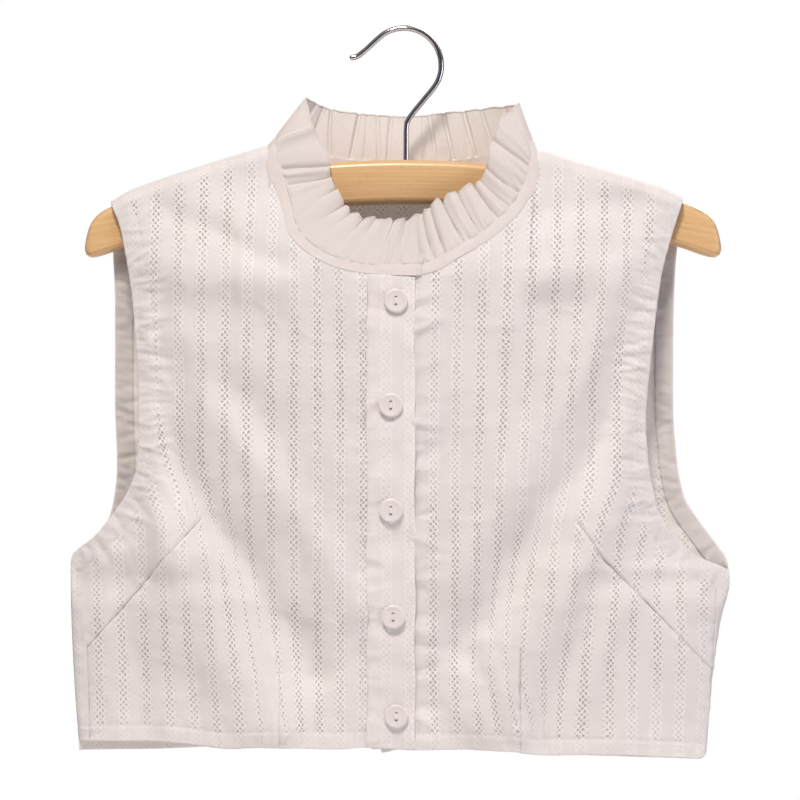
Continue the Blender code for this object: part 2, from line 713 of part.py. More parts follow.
def collar_round(share):
    """The neck seam and the ruffle's free edge at shares of the way round the collar."""
    way = collar_way()
    seam_y = [surface(row[5], np.array(row[:1]), np.array(row[1:2]))[0, 1] for row in COLLAR]
    flat = neck_seam(share)
    seam = np.stack([flat[..., 0], follow(list(zip(way, seam_y)), share), flat[..., 1]], axis=-1)
    return seam, collar_edge(share)


def collar_outward(share):
    """Unit normals of the collar's wall, pointing away from the neck."""
    small = 0.002
    seam, edge = collar_round(share)
    ahead, _ = collar_round(np.clip(share + small, 0, 1))
    behind, _ = collar_round(np.clip(share - small, 0, 1))
    normal = np.cross(ahead - behind, edge - seam)
    return normal / np.linalg.norm(normal, axis=-1, keepdims=True)


def collar_points(share, height, wave=0.0):
    """Points of the collar's wall: height in metres above the seam, moved out by wave."""
    seam, edge = collar_round(share)
    rise = edge - seam
    rise /= np.linalg.norm(rise, axis=-1, keepdims=True)
    height, wave = np.asarray(height)[..., None], np.asarray(wave)[..., None]
    return seam + rise * height + collar_outward(share) * wave


def neckband_shares():
    """Where the panels' columns meet the neck seam, so that the band's foot keeps to their edges."""
    met = {BAND_LAST_STATION, 1.0}
    for side in ("left", "right"):
        columns = [u for u in NECK_COLUMNS[side] if u >= NECK_FROM[side]]
        met.update(front_neck_shares(side, np.array(columns)).round(6).tolist())
    columns = [u for u in BACK_COLUMNS if BACK_NECK[0] <= u <= BACK_NECK[1]]
    met.update(back_neck_shares(np.array(columns)).round(6).tolist())
    edges = sorted(met)
    between = [(a + b) / 2 for a, b in zip(edges, edges[1:]) if b - a > 0.01]
    return sorted([*edges, *between])


def make_neckband(finish):
    bm = grid(neckband_shares(), (0.0, 1.0))
    share, level = shares(bm)
    start = follow(BAND_START, np.interp(share, collar_way(), range(len(COLLAR))))
    move_points(bm, collar_points(share, start + (BAND_HEIGHT - start) * level))
    bmesh.ops.recalc_face_normals(bm, faces=bm.faces)
    return thicken(place("neckband", bm, finish), BAND_CLOTH)


def make_ruffle(finish):
    columns = np.linspace(0, 1, RUFFLE_WAVES * RUFFLE_POINTS_PER_WAVE + 1)
    bm = grid(columns, RUFFLE_LEVELS)
    share, level = shares(bm)
    seam, edge = collar_round(share)
    full = np.linalg.norm(edge - seam, axis=-1)
    foot = BAND_HEIGHT + RUFFLE_FOOT_GAP
    size = RUFFLE_FOOT_WAVE + (RUFFLE_EDGE_WAVE - RUFFLE_FOOT_WAVE) * level
    much, times, start = RUFFLE_UNEVEN
    uneven = 1 - much + much * np.sin(2 * math.pi * (times * share + start))
    drift = sum(much * np.sin(2 * math.pi * (times * share + start)) for much, times, start in RUFFLE_DRIFT)
    wave = size * uneven * np.sin(2 * math.pi * (RUFFLE_WAVES * share + drift))
    move_points(bm, collar_points(share, foot + (full - foot) * level, wave))
    bmesh.ops.recalc_face_normals(bm, faces=bm.faces)
    return thicken(place("ruffle", bm, finish), RUFFLE_CLOTH)


def make_button(number, x, z, finish):
    """A turned disc with a raised rim, a dished middle and two thread holes."""
    bm = bmesh.new()
    half = BUTTON_THICK / 2
    profile = (
        (0.0, half - BUTTON_DISH),
        (BUTTON_RADIUS - 2 * BUTTON_RIM, half - BUTTON_DISH),
        (BUTTON_RADIUS - BUTTON_RIM, half),
        (BUTTON_RADIUS, half - BUTTON_RIM / 2),
        (BUTTON_RADIUS - BUTTON_RIM, -half),
        (0.0, -half),
    )
    chain = [bm.verts.new((radius, 0, height)) for radius, height in profile]
    edges = [bm.edges.new(pair) for pair in zip(chain, chain[1:])]
    bmesh.ops.spin(
        bm,
        geom=chain + edges,
        cent=(0, 0, 0),
        axis=(0, 0, 1),
        angle=2 * math.pi,
        steps=BUTTON_SIDES,
        use_merge=True,
    )
    bmesh.ops.remove_doubles(bm, verts=bm.verts, dist=1e-6)
    bmesh.ops.recalc_face_normals(bm, faces=bm.faces)
    item = place(f"button_{number}", bm, finish)
    spot = np.array([x]), np.array([z])
    out = PLACKET_CLOTH / 2 + BUTTON_GAP + half
    seat, centre = surface("front", *spot, 0.0)[0], surface("front", *spot, np.array([out]))[0]
    item.location = centre
    item.rotation_euler = Vector(centre - seat).to_track_quat("Z", "Y").to_euler()
    for sign in (-1, 1):
        hole = bpy.data.objects.new(f"hole_{number}_{'high' if sign > 0 else 'low'}", hole_mesh())
        bpy.context.collection.objects.link(hole)
        hole.parent = item
        hole.location = (0, sign * BUTTON_HOLE_SPACING / 2, 0)
        hole.hide_render = True
        hole.display_type = "WIRE"
        cut = item.modifiers.new("thread hole", "BOOLEAN")
        cut.operation = "DIFFERENCE"
        cut.object = hole
    return item


def hole_mesh():
    bm = bmesh.new()
    bmesh.ops.create_cone(
        bm,
        cap_ends=True,
        segments=HOLE_SIDES,
        radius1=BUTTON_HOLE_RADIUS,
        radius2=BUTTON_HOLE_RADIUS,
        depth=2 * BUTTON_THICK,
    )
    mesh = bpy.data.meshes.new("thread hole")
    bm.to_mesh(mesh)
    bm.free()
    return mesh


def make_bar(finish):
    """The arched wooden bar: its outline in X and Z, extruded to its thickness and rounded."""
    first, last = BAR_END[0][0], BAR_END[-1][0]
    top = [(x, BAR_TOP - BAR_TOP_BEND * x * x) for x in np.linspace(-first, first, BAR_STATIONS + 2)[1:-1]]
    foot = [(x, BAR_FOOT - BAR_FOOT_BEND * x * x) for x in np.linspace(last, -last, BAR_STATIONS + 2)[1:-1]]
    right_end = [(-x, z) for x, z in BAR_END[::-1]]
    outline = [*top, *BAR_END, *foot, *right_end]
    bm = bmesh.new()
    rim = [bm.verts.new((BAR_CENTRE_X + x, -BAR_THICK / 2, z)) for x, z in outline]
    front = bm.faces.new(rim)
    swept = bmesh.ops.extrude_face_region(bm, geom=[front])
    far = [part for part in swept["geom"] if isinstance(part, bmesh.types.BMVert)]
    bmesh.ops.translate(bm, verts=far, vec=(0, BAR_THICK, 0))
    bmesh.ops.recalc_face_normals(bm, faces=bm.faces)
    item = place("hanger_bar", bm, finish)
    soft = item.modifiers.new("rounded edges", "BEVEL")
    soft.width = BAR_ROUND
    soft.segments = 3
    soft.limit_method = "ANGLE"
    soft.angle_limit = math.radians(60)
    bore = bpy.data.objects.new("stem_bore", bore_mesh())
    bpy.context.collection.objects.link(bore)
    bore.location = (STEM_X, 0, (STEM_BORE_FOOT + BAR_TOP + STEM_BORE_ABOVE) / 2)
    bore.hide_render = True
    bore.display_type = "WIRE"
    drill = item.modifiers.new("bore for the hook's stem", "BOOLEAN")
    drill.operation = "DIFFERENCE"
    drill.object = bore
    return item


def bore_mesh():
    bm = bmesh.new()
    radius = WIRE_RADIUS + SEAM
    height = BAR_TOP + STEM_BORE_ABOVE - STEM_BORE_FOOT
    bmesh.ops.create_cone(
        bm,
        cap_ends=True,
        segments=BORE_SIDES,
        radius1=radius,
        radius2=radius,
        depth=height,
    )
    mesh = bpy.data.meshes.new("stem bore")
    bm.to_mesh(mesh)
    bm.free()
    return mesh


def make_hook(finish):
    """A bent wire with round ends, on a smooth route: tip, arc over the rail, slant and stem."""
    centre_z = WIRE_RADIUS - HOOK_RADIUS
    turns = np.radians(np.linspace(*HOOK_ARC, ARC_POINTS))
    arc = [(HOOK_RADIUS * math.cos(a), centre_z + HOOK_RADIUS * math.sin(a)) for a in turns]
    route = travel([*HOOK_TIP, *arc, *HOOK_STEM], np.linspace(0, 1, WIRE_POINTS))
    curve = bpy.data.curves.new("hanger_hook", "CURVE")
    curve.dimensions = "3D"
    spline = curve.splines.new("POLY")
    spline.points.add(len(route) - 1)
    for point, (x, z) in zip(spline.points, route):
        point.co = (x, 0, z, 1)
    curve.bevel_depth = WIRE_RADIUS
    curve.bevel_resolution = 2
    curve.use_fill_caps = True
    curve.materials.append(finish)
    item = bpy.data.objects.new("hanger_hook", curve)
    bpy.context.collection.objects.link(item)
    return item


def group(name, items):
    """Parents items to an empty at the origin."""
    holder = bpy.data.objects.new(name, None)
    bpy.context.collection.objects.link(holder)
    for item in items:
        item.parent = holder


def main():
    clear_scene()
    striped = material("openwork striped cotton", (0.84, 0.80, 0.77), 0.85)
    plain = material("plain cotton voile", (0.86, 0.83, 0.80), 0.85)
    pearl = material("white polyester button", (0.85, 0.82, 0.80), 0.30)
    wood = material("lotus wood, clear lacquer", (0.76, 0.52, 0.27), 0.45)
    chrome = material("chrome plated wire", (0.62, 0.62, 0.64), 0.18, 1.0)
    cloth = [make_front(side, striped) for side in ("right", "left")]
    cloth += [make_back(striped), make_placket(striped)]
    cloth += [make_facing(face, side, plain) for face in ("front", "back") for side in ("right", "left")]
    cloth += [make_neckband(plain), make_ruffle(plain)]
    cloth += [make_button(number, *spot, pearl) for number, spot in enumerate(BUTTONS, 1)]
    group("dickey", cloth)
    group("hanger", [make_bar(wood), make_hook(chrome)])


main()
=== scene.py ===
"""The looks of a sleeveless dickey blouse with a ruffled stand collar, hung on a wooden hanger.

Metres, +Z up, the front faces -Y. Right and left in names are the wearer's, so the right front lies at -X.
Each cloth piece is a fine grid, laid along the same curves as the solid that it stands for, with its own
creases and puckers added, and then given a thin wall.
"""

import math

import bmesh
import bpy
import numpy as np
from mathutils import Matrix, Vector


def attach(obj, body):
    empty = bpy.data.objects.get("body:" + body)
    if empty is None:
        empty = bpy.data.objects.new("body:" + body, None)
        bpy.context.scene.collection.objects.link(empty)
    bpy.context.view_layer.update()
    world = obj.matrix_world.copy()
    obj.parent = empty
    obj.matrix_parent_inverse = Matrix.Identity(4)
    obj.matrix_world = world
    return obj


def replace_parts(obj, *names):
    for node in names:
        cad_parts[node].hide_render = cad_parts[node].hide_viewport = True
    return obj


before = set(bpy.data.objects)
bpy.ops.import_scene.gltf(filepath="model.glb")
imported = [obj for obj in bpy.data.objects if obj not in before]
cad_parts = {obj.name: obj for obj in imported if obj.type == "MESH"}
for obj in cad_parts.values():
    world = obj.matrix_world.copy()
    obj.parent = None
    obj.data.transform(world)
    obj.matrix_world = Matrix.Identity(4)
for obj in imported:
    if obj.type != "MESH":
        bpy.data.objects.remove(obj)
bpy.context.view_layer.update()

# ---------------------------------------------------------------- sizes
MM = 0.001
WALL = 0.0005  # the panels' cloth, drawn about twice as thick as real voile
PLACKET_WALL = 0.0010
FACING_WALL = 0.0004
FACING_GAP = 0.00045
BAND_WALL = 0.0010
RUFFLE_WALL = 0.00045
SEAM_HALF = 0.00027  # from the seams' plane to the middle of the cloth's edge
PROBE = 0.001  # how far above the cloth a second point shows which way is outward
SAME_POINT = 1e-6

PANELS = {  # the face that each lies on, the sides that it reaches, and its seed
    "front_right": ("front", ("right",), 100),
    "front_left": ("front", ("left",), 200),
    "back": ("back", ("right", "left"), 300),
}

FACING_WIDTH = 0.0115
FACING_FOOT = -0.3375
HEM = 0.0100  # width of the turned-up hem
# How far from an edge the cloth turns from doubled to single.
HEM_LINED = (HEM - 0.0006, HEM + 0.0006)
FACING_LINED = (FACING_WIDTH - 0.0008, FACING_WIDTH + 0.0008)
SHOULDER_LINED = (0.0050, 0.0110)
SIDE_LINED = (0.0060, 0.0078)
UNDERLAP_LINED = (0.0066, 0.0090)
# Puckers along a seam: pitch, reach across the seam and height.
ARMHOLE_PUCKERS = {  # with how far in from the edge their line lies
    "front": ((FACING_WIDTH, 0.0050, 0.0085, 0.00085), (0.0040, 0.0044, 0.0060, 0.00060)),
    "back": ((FACING_WIDTH, 0.0064, 0.0090, 0.00070), (0.0040, 0.0060, 0.0060, 0.00050)),
}
SIDE_PUCKERS = (0.009, 0.009, 0.00045)
HEM_PUCKERS = (0.0075, 0.0085, 0.00040)
DART_PUCKERS = (0.0065, 0.0050, 0.00035)
NECK_PUCKERS = (0.0055, 0.0075, 0.00035)
UPRIGHT_PUCKERS = {  # with the X of their line: the placket's sewn edge, and the front beside the placket
    "front_right": (-0.0224, 0.0095, 0.0070, 0.00050),
    "front_left": (0.0110, 0.0110, 0.0100, 0.00110),
}
HEM_GROOVE = (0.00045, 0.0011)  # depth and half width of the groove that a row of stitches pulls in
FACING_GROOVE = (0.00040, 0.0010)
CORNER_ROUND = 0.0050  # of the hem's corner at the left side seam
BAND_HEIGHT = 0.0070
NECK_CLEAR = 0.0001  # from the neck seam to the panels' cut edges
BAND_LAP = 0.0044  # how far the right end of the band laps on over the left one
RUFFLE_LAP, RUFFLE_LAP_OUT = 0.0052, 0.0016  # the same of the ruffle, and how far out it lies there
BAND_TUCK = (  # the collar's row, and how far the band's foot runs on below the neck seam there
    (0.0, 0.0004), (4.6, 0.0004), (5.4, 0.0028), (8.4, 0.0028), (9.2, 0.0004), (13.8, 0.0004),
    (14.5, 0.0028), (16.4, 0.0028), (17.2, 0.0008), (23.0, 0.0004),
)

SHOULDER_ROUND = 0.0080  # how far below the shoulder seam the cloth has finished turning over it
LENS_POWER = 2.2  # how evenly a face bulges from side to side
QUIET_BELOW, QUIET_ABOVE = -0.362, -0.335  # Z between which folds turn from fading slowly to fading fast
QUIET_LENS = (0.08, 0.40)  # how far the face bulges where fast ones have faded, and where they start to

PLACKET_LEFT, PLACKET_RIGHT = -0.0224, 0.0066
PLACKET_LAP, PLACKET_SUNK = 0.0010, 0.0007  # how far its sewn edge runs on, and sinks into the front
UNDERLAP = -0.0200  # X of the left front's edge, behind the placket
UNDERLAP_STEP = (0.0060, 0.0105)  # X where it has sunk in behind the placket, and where it starts to
UNDERLAP_DEPTH = 0.0019
PLACKET_TOP = ((-0.0224, -0.1541), (0.0, -0.1556), (0.0066, -0.1560))
PLACKET_FOOT = ((-0.0224, -0.4496), (0.0066, -0.4515))

STITCH_PITCH, STITCH_LONG, STITCH_WIDE = 0.0027, 0.0021, 0.00042
JOIN_LONG, JOIN_WIDE = 0.0025, 0.00070

BUTTON_THICK = 0.0028
BUTTON_HOLE_RADIUS = 0.0009
BUTTON_HOLE_SPACING = 0.0040
BUTTON_GAP = 0.0004  # between a button's back and the placket
BUTTON_X = (-0.0050, -0.0082, -0.0082, -0.0069, -0.0050)
BUTTON_Z = (-0.1707, -0.2356, -0.3011, -0.3673, -0.4297)
BUTTON_PROFILE = (  # radius and height in millimetres: dished middle, raised rim, rounded edge, flat back
    (0.0, 0.75), (3.4, 0.76), (4.5, 0.84), (5.1, 0.98), (5.6, 1.14), (6.1, 1.24), (6.6, 1.22), (7.0, 1.08),
    (7.3, 0.80), (7.48, 0.40), (7.46, -0.10), (7.2, -0.65), (6.6, -1.10), (5.6, -1.36), (3.0, -1.40),
    (0.0, -1.40),
)
STRAND_RADIUS = 0.00030  # of the thread through a button's holes

BAR_THICK = 0.0120
BAR_ROUND = 0.0050
BAR_CENTRE_X = -0.0006
BAR_TOP, BAR_TOP_BEND = -0.0813, 0.860
BAR_FOOT, BAR_FOOT_BEND = -0.1093, 0.890
UNDER_EDGE_SHADE_LINE = 0.0036  # how far above the foot the painted shade line runs, where the rounded lower edge turns under
BAR_END = (  # X and Z round the bar's end, from its upper edge to its foot
    (0.1821, -0.1102), (0.1877, -0.1128), (0.1914, -0.1153), (0.1945, -0.1184), (0.1968, -0.1220),
    (0.1985, -0.1266), (0.1997, -0.1315), (0.2004, -0.1366), (0.2000, -0.1394), (0.1984, -0.1416),
    (0.1958, -0.1427), (0.1925, -0.1423),
)

WIRE_RADIUS = 0.00175
HOOK_RADIUS = 0.0235
HOOK_ARC = (135, -27)
HOOK_TIP = ((-0.0343, -0.0169), (-0.0300, -0.0163), (-0.0258, -0.0134))
HOOK_STEM = ((0.0120, -0.0441), (0.0048, -0.0531), (0.0018, -0.0585), (0.0013, -0.0660), (0.0013, -0.0950))

FLOOR, FLOOR_RADIUS = -0.90, 3.0
LENS, SENSOR = 200.0, 36.0
VIEW_WIDTH = 0.504
VIEW_CENTRE = (-0.0025, -0.2325)

# ---------------------------------------------------------------- outlines
SHOULDER = {  # X and Z, from the neck out
    "right": (
        (-0.0857, -0.0727), (-0.0970, -0.0757), (-0.1172, -0.0819), (-0.1373, -0.0882), (-0.1562, -0.0945),
        (-0.1733, -0.1012), (-0.1845, -0.1078),
    ),
    "left": (
        (0.0842, -0.0752), (0.1071, -0.0819), (0.1285, -0.0882), (0.1493, -0.0945), (0.1672, -0.1005),
        (0.1755, -0.1054),
    ),
}
EDGE = {  # armhole and side seam, from the shoulder's tip down: Z and X
    "front": {
        "right": (
            (-0.1078, -0.1845), (-0.1235, -0.1783), (-0.1348, -0.1758), (-0.1594, -0.1716),
            (-0.1896, -0.1686), (-0.2237, -0.1663), (-0.2451, -0.1659), (-0.2715, -0.1670),
            (-0.2867, -0.1716), (-0.3056, -0.1840), (-0.3182, -0.1947), (-0.3308, -0.2090),
            (-0.3396, -0.2098), (-0.3711, -0.2092), (-0.4215, -0.2066), (-0.4467, -0.2044),
        ),
        "left": (
            (-0.1054, 0.1755), (-0.1323, 0.1670), (-0.1556, 0.1613), (-0.1868, 0.1567), (-0.2129, 0.1540),
            (-0.2444, 0.1518), (-0.2703, 0.1531), (-0.2879, 0.1560), (-0.3056, 0.1613), (-0.3207, 0.1724),
            (-0.3318, 0.1859), (-0.3395, 0.2035), (-0.3460, 0.2050), (-0.3698, 0.1997), (-0.4013, 0.1948),
            (-0.4586, 0.1900),
        ),
    },
    "back": {
        "right": (
            (-0.1078, -0.1845), (-0.1160, -0.1850), (-0.1380, -0.1840), (-0.1695, -0.1827),
            (-0.2325, -0.1827), (-0.2734, -0.1814), (-0.2955, -0.1835), (-0.3081, -0.1872),
            (-0.3180, -0.1948), (-0.3260, -0.2050), (-0.3325, -0.2090), (-0.3396, -0.2098),
            (-0.3711, -0.2092), (-0.4215, -0.2066), (-0.4530, -0.2044),
        ),
        "left": (
            (-0.1054, 0.1755), (-0.1140, 0.1754), (-0.1443, 0.1720), (-0.1695, 0.1707), (-0.2325, 0.1701),
            (-0.2703, 0.1726), (-0.2829, 0.1745), (-0.2955, 0.1780), (-0.3081, 0.1859), (-0.3207, 0.1953),
            (-0.3330, 0.2035), (-0.3460, 0.2050), (-0.3698, 0.1997), (-0.4013, 0.1948), (-0.4590, 0.1900),
        ),
    },
}
HEMS = {  # X and Z: a front's from the centre front to the side, and the back's from right to left
    "front_right": (
        (-0.0227, -0.4496), (-0.0460, -0.4505), (-0.0800, -0.4492), (-0.1074, -0.4505), (-0.1279, -0.4486),
        (-0.1550, -0.4464), (-0.2044, -0.4467),
    ),
    "front_left": (
        (-0.0200, -0.4511), (0.0082, -0.4511), (0.0658, -0.4520), (0.0863, -0.4549), (0.1342, -0.4549),
        (0.1547, -0.4561), (0.1900, -0.4586),
    ),
    "back": (
        (-0.2044, -0.4530), (-0.1651, -0.4530), (-0.1077, -0.4511), (-0.0164, -0.4498), (-0.0151, -0.4560),
        (0.0076, -0.4511), (0.0863, -0.4560), (0.1900, -0.4590),
    ),
}

# Z, and the distance out of the seams' plane.
DEPTH_CENTRE = {
    "front": (
        (-0.4550, 0.0210), (-0.3800, 0.0290), (-0.3100, 0.0340), (-0.2200, 0.0370), (-0.1600, 0.0380),
        (-0.1450, 0.0370), (-0.1340, 0.0340), (-0.1180, 0.0260), (-0.1030, 0.0165), (-0.0900, 0.0120),
        (-0.0700, 0.0100),
    ),
    "back": (
        (-0.4550, 0.0130), (-0.3000, 0.0170), (-0.1500, 0.0160), (-0.0890, 0.0140), (-0.0700, 0.0100),
    ),
}
DEPTH_EDGE = {
    "front": (
        (-0.4500, 0.0000), (-0.3620, 0.0000), (-0.3480, 0.0009), (-0.3400, 0.0017), (-0.3260, 0.0032),
        (-0.3120, 0.0070), (-0.2900, 0.0100), (-0.2200, 0.0125), (-0.1500, 0.0110), (-0.1150, 0.0097),
        (-0.0700, 0.0097),
    ),
    "back": (
        (-0.4500, 0.0000), (-0.3620, 0.0000), (-0.3480, 0.0009), (-0.3400, 0.0017), (-0.3260, 0.0032),
        (-0.3120, 0.0065), (-0.2900, 0.0090), (-0.2200, 0.0100), (-0.1150, 0.0097), (-0.0700, 0.0097),
    ),
}
LENS_ROUND = ((-0.4500, 0.60), (-0.3620, 0.60), (-0.3420, 1.00), (-0.0700, 1.00))

# Folds and pressed creases, in millimetres: ends in X and Z, half width, and the height out of the cloth at
# either end (a trough is negative).
SOFT_FOLDS = {
    "front": (
        (-130, -305, -100, -290, 33, 4.0, 4.0),  # fullness at the right bust
        (85, -290, 112, -305, 33, 4.0, 4.0),  # fullness at the left bust
        (136, -169, 29, -346, 13, 5.0, 4.6),  # above the drag line from the left armhole
        (148, -212, 36, -388, 12, -6.2, -5.8),  # the drag line
        (158, -258, 54, -430, 20, 7.4, 8.0),  # the fuller cloth below it
        (-144, -198, -28, -358, 13, 4.0, 4.0),  # the same on the right
        (-163, -239, -56, -403, 12, -5.6, -5.6), (-180, -270, -88, -434, 21, 7.4, 8.8),
        (-160, -454, -60, -458, 40, 3.0, 5.5),  # the hem kicks out below it
        (86, -156, 152, -150, 13, 6.0, 5.6),  # hanging from the shoulders' tips to the neck
        (82, -118, 156, -110, 10, -4.0, -4.0), (-172, -152, -80, -158, 14, 5.0, 4.0),
        (-150, -112, -78, -147, 9, -2.8, -3.2), (-178, -178, -84, -250, 13, -3.6, -2.6),
        (-160, -270, -133, -313, 8.5, -2.6, -2.6),  # fold from the right armhole to the dart
        (-164, -295, -142, -333, 8.5, 2.2, 2.2),
        (162, -348, 183, -374, 8, -2.2, -2.2),  # between the left armhole and the dart
        (50, -385, 74, -444, 6.5, 1.8, 1.8),  # fan at the waist dart
        (-178, -360, -160, -450, 10, -2.0, -2.0), (-50, -330, -42, -450, 12, 1.6, 1.6),
        (135, -370, 140, -456, 11, 1.8, 1.8), (63, -178, 30, -300, 7, 0.9, 0.3),
        (112, -215, 72, -300, 6, 0.9, 0.3), (100, -330, 92, -452, 7, 0.9, 1.2),
        (-132, -330, -118, -446, 7, 0.5, 1.1), (-96, -300, -92, -444, 6, -0.5, -0.9),
        (-62, -180, -70, -300, 7, 0.8, 0.4), (-140, -180, -120, -250, 7, 0.8, 0.3),
        (120, -346, 84, -446, 9, -2.4, -3.0),  # the hollow beside the waist dart, and its crest
        (134, -360, 104, -452, 8, 2.0, 2.4), (165, -395, 160, -455, 5, 0.8, 1.0),
    ),
    "back": (
        (-62, -110, -85, -450, 16, 3.2, 3.6), (55, -110, 76, -455, 16, 3.2, 3.6),
        (-150, -260, -40, -390, 13, -3.4, -3.4), (145, -240, 35, -380, 13, -3.4, -3.4),
        (5, -120, -5, -440, 14, -2.6, -3.0), (-140, -330, -145, -450, 11, 1.8, 1.8),
        (140, -330, 135, -455, 11, 1.8, 1.8), (-120, -120, -105, -260, 8, 1.0, 0.4),
        (112, -125, 96, -250, 8, 0.9, 0.3), (-35, -150, -42, -300, 6, -0.7, -0.9),
        (28, -260, 22, -450, 7, 0.9, 1.3), (-108, -330, -112, -450, 6, -0.8, -1.1),
        (102, -310, 108, -455, 6, -0.7, -1.2), (-170, -300, -120, -345, 6, 0.9, 0.3),
        (168, -290, 118, -340, 6, 1.0, 0.3), (-60, -330, -52, -450, 5, 0.5, 1.0),
        (62, -345, 55, -455, 5, -0.5, -0.9),
    ),
}
CRISP_FOLDS = {
    "front": (
        (-102.1, -125.4, -102.1, -223.7, 1.6, 0.9, 0.5),  # pressed crease, right
        (87.9, -118.4, 87.9, -156, 1.6, 0.9, 0.5),  # pressed crease, left
        (-164.4, -119, -164.4, -154, 1.5, 0.6, 0.3), (-143.6, -136, -126.6, -139.2, 1.4, 0.5, 0.3),
        (-139.9, -145.5, -128.5, -149.3, 1.4, 0.5, 0.3), (-158.1, -270.3, -134.8, -310, 2.0, 1.1, 0.4),
        (-191.5, -329, -184, -365, 1.8, 1.0, 0.7), (-180.8, -313.7, -167.6, -347, 1.8, 1.2, 0.8),
        (-173.3, -315.6, -163.8, -338.3, 1.6, 0.9, 0.4), (-151.8, -284, -134.2, -312, 1.9, 1.1, 0.5),
        (164.4, -312.5, 180.8, -367.3, 1.8, 0.8, 1.1), (180.8, -369.8, 185.9, -376.7, 1.6, 0.9, 0.6),
        (57.3, -393, 69.3, -440.4, 1.8, 0.4, 1.1), (63.6, -383.7, 71.2, -421.5, 1.8, 0.3, 0.9),
        (49, -402, 63, -446, 1.8, -0.3, -0.8), (80, -398, 77, -444, 1.8, 0.4, 0.9),
        (-84.5, -402, -81, -444, 1.8, 0.3, 0.8), (-70, -405, -74.5, -444, 1.8, 0.3, 0.7),
        (24, -190, 17, -238, 1.8, 0.5, 0.3), (30, -258, 20, -286, 1.8, 0.5, 0.3),
        (33, -318, 18, -350, 1.8, 0.6, 0.3),
    ),
    "back": (
        (-102, -110, -104, -210, 1.8, 0.9, 0.4), (96, -108, 97, -190, 1.8, 0.8, 0.4),
        (-20, -190, -16, -262, 1.8, 0.7, 0.3), (40, -330, 34, -400, 1.8, 0.7, 0.4),
        (-176, -335, -150, -372, 2.0, 1.1, 0.4), (174, -330, 150, -366, 2.0, 1.0, 0.4),
        (-150, -395, -146, -445, 1.8, 0.5, 0.9), (150, -400, 147, -450, 1.8, 0.5, 0.9),
        (-70, -400, -66, -446, 1.8, 0.4, 0.8), (80, -398, 84, -450, 1.8, 0.4, 0.8),
        (0, -300, 6, -360, 1.8, -0.6, -0.3),
    ),
}
CRISPNESS = 0.35  # how round a crisp fold's ridge is, as a share of its half width
SEWN_LINES = {  # darts: ends in X and Z and depth at either end, in millimetres
    "front": (
        (-197.8, -386.8, -128.5, -308.7, -1.7, -0.9),  # bust dart, right
        (192.8, -401.3, 124.7, -331.7, -1.7, -1.3),  # bust dart, left
        (124.7, -331.7, 108.4, -308.7, -1.3, -0.5),
        (72.5, -390, 72.5, -455, -0.7, -1.5),  # waist dart, left
        (-78, -398, -78, -452, -0.3, -0.8),  # waist dart, right
        (-199.1, -387, -197.2, -447, -0.7, -0.7),  # side seam, drawn a little to the front
        (196.2, -352, 192.0, -430, -0.9, -0.5),
    ),
    "back": (),
}
# In millimetres from a dart's line:
SEWN_HALF = 0.60  # half width of its groove
SEWN_CUTS = (-1.6, -0.6, 0.0, 0.5, 1.0, 1.8)  # where the flat piece is cut
SLIT_SHADE = (0.05, 0.5)  # where the painted shade of its slit is full, and where that has faded out
UNHOLED = (0.9, 1.8)  # where no lace hole shows, and where they all do

# The collar's round, from its left end (at the placket) over the left shoulder, the back and the right
# shoulder to its right end: the neck seam's X and Z, and the ruffle's free edge in X, Y and Z.
COLLAR = (
    (0.0082, -0.1549, 0.0095, -0.0240, -0.1180), (0.0200, -0.1519, 0.0160, -0.0235, -0.1130),
    (0.0315, -0.1453, 0.0233, -0.0220, -0.1065), (0.0510, -0.1336, 0.0381, -0.0185, -0.1000),
    (0.0690, -0.1184, 0.0504, -0.0150, -0.0907), (0.0794, -0.1027, 0.0540, -0.0115, -0.0750),
    (0.0832, -0.0860, 0.0605, -0.0060, -0.0573), (0.0832, -0.0749, 0.0709, 0.0030, -0.0457),
    (0.0730, -0.0795, 0.0624, 0.0120, -0.0463), (0.0479, -0.0856, 0.0416, 0.0165, -0.0485),
    (0.0227, -0.0884, 0.0214, 0.0185, -0.0504), (0.0000, -0.0890, 0.0000, 0.0190, -0.0521),
    (-0.0246, -0.0882, -0.0227, 0.0185, -0.0510), (-0.0498, -0.0850, -0.0416, 0.0165, -0.0488),
    (-0.0731, -0.0780, -0.0529, 0.0120, -0.0454), (-0.0847, -0.0724, -0.0605, 0.0030, -0.0422),
    (-0.0840, -0.0863, -0.0573, -0.0070, -0.0610), (-0.0806, -0.0970, -0.0475, -0.0120, -0.0762),
    (-0.0756, -0.1128, -0.0454, -0.0160, -0.0939), (-0.0712, -0.1285, -0.0385, -0.0195, -0.1070),
    (-0.0586, -0.1414, -0.0315, -0.0225, -0.1170), (-0.0390, -0.1506, -0.0176, -0.0240, -0.1197),
    (-0.0150, -0.1542, -0.0040, -0.0242, -0.1205), (0.0064, -0.1549, 0.0083, -0.0240, -0.1180),
)
COLLAR_LEFT, COLLAR_RIGHT = 7, 15  # the collar's rows at the shoulder seams
COLLAR_PLACKET = 21.68  # the row at the placket's sewn edge
NECK_FROM = {"right": 0.0, "left": 0.12}  # the share of a front's top edge where the neck starts
NECK_TO = 0.50  # where it ends and the shoulder starts
BACK_NECK = (0.29, 0.71)  # the same for the back's two ends of the neck
INDENT_POWER = 2  # how soon the armhole's shape fades away from the edge
FLAT_ROWS = (16.5, 17.5, 21.5, 22.5)  # where the collar starts and stops being pulled flat

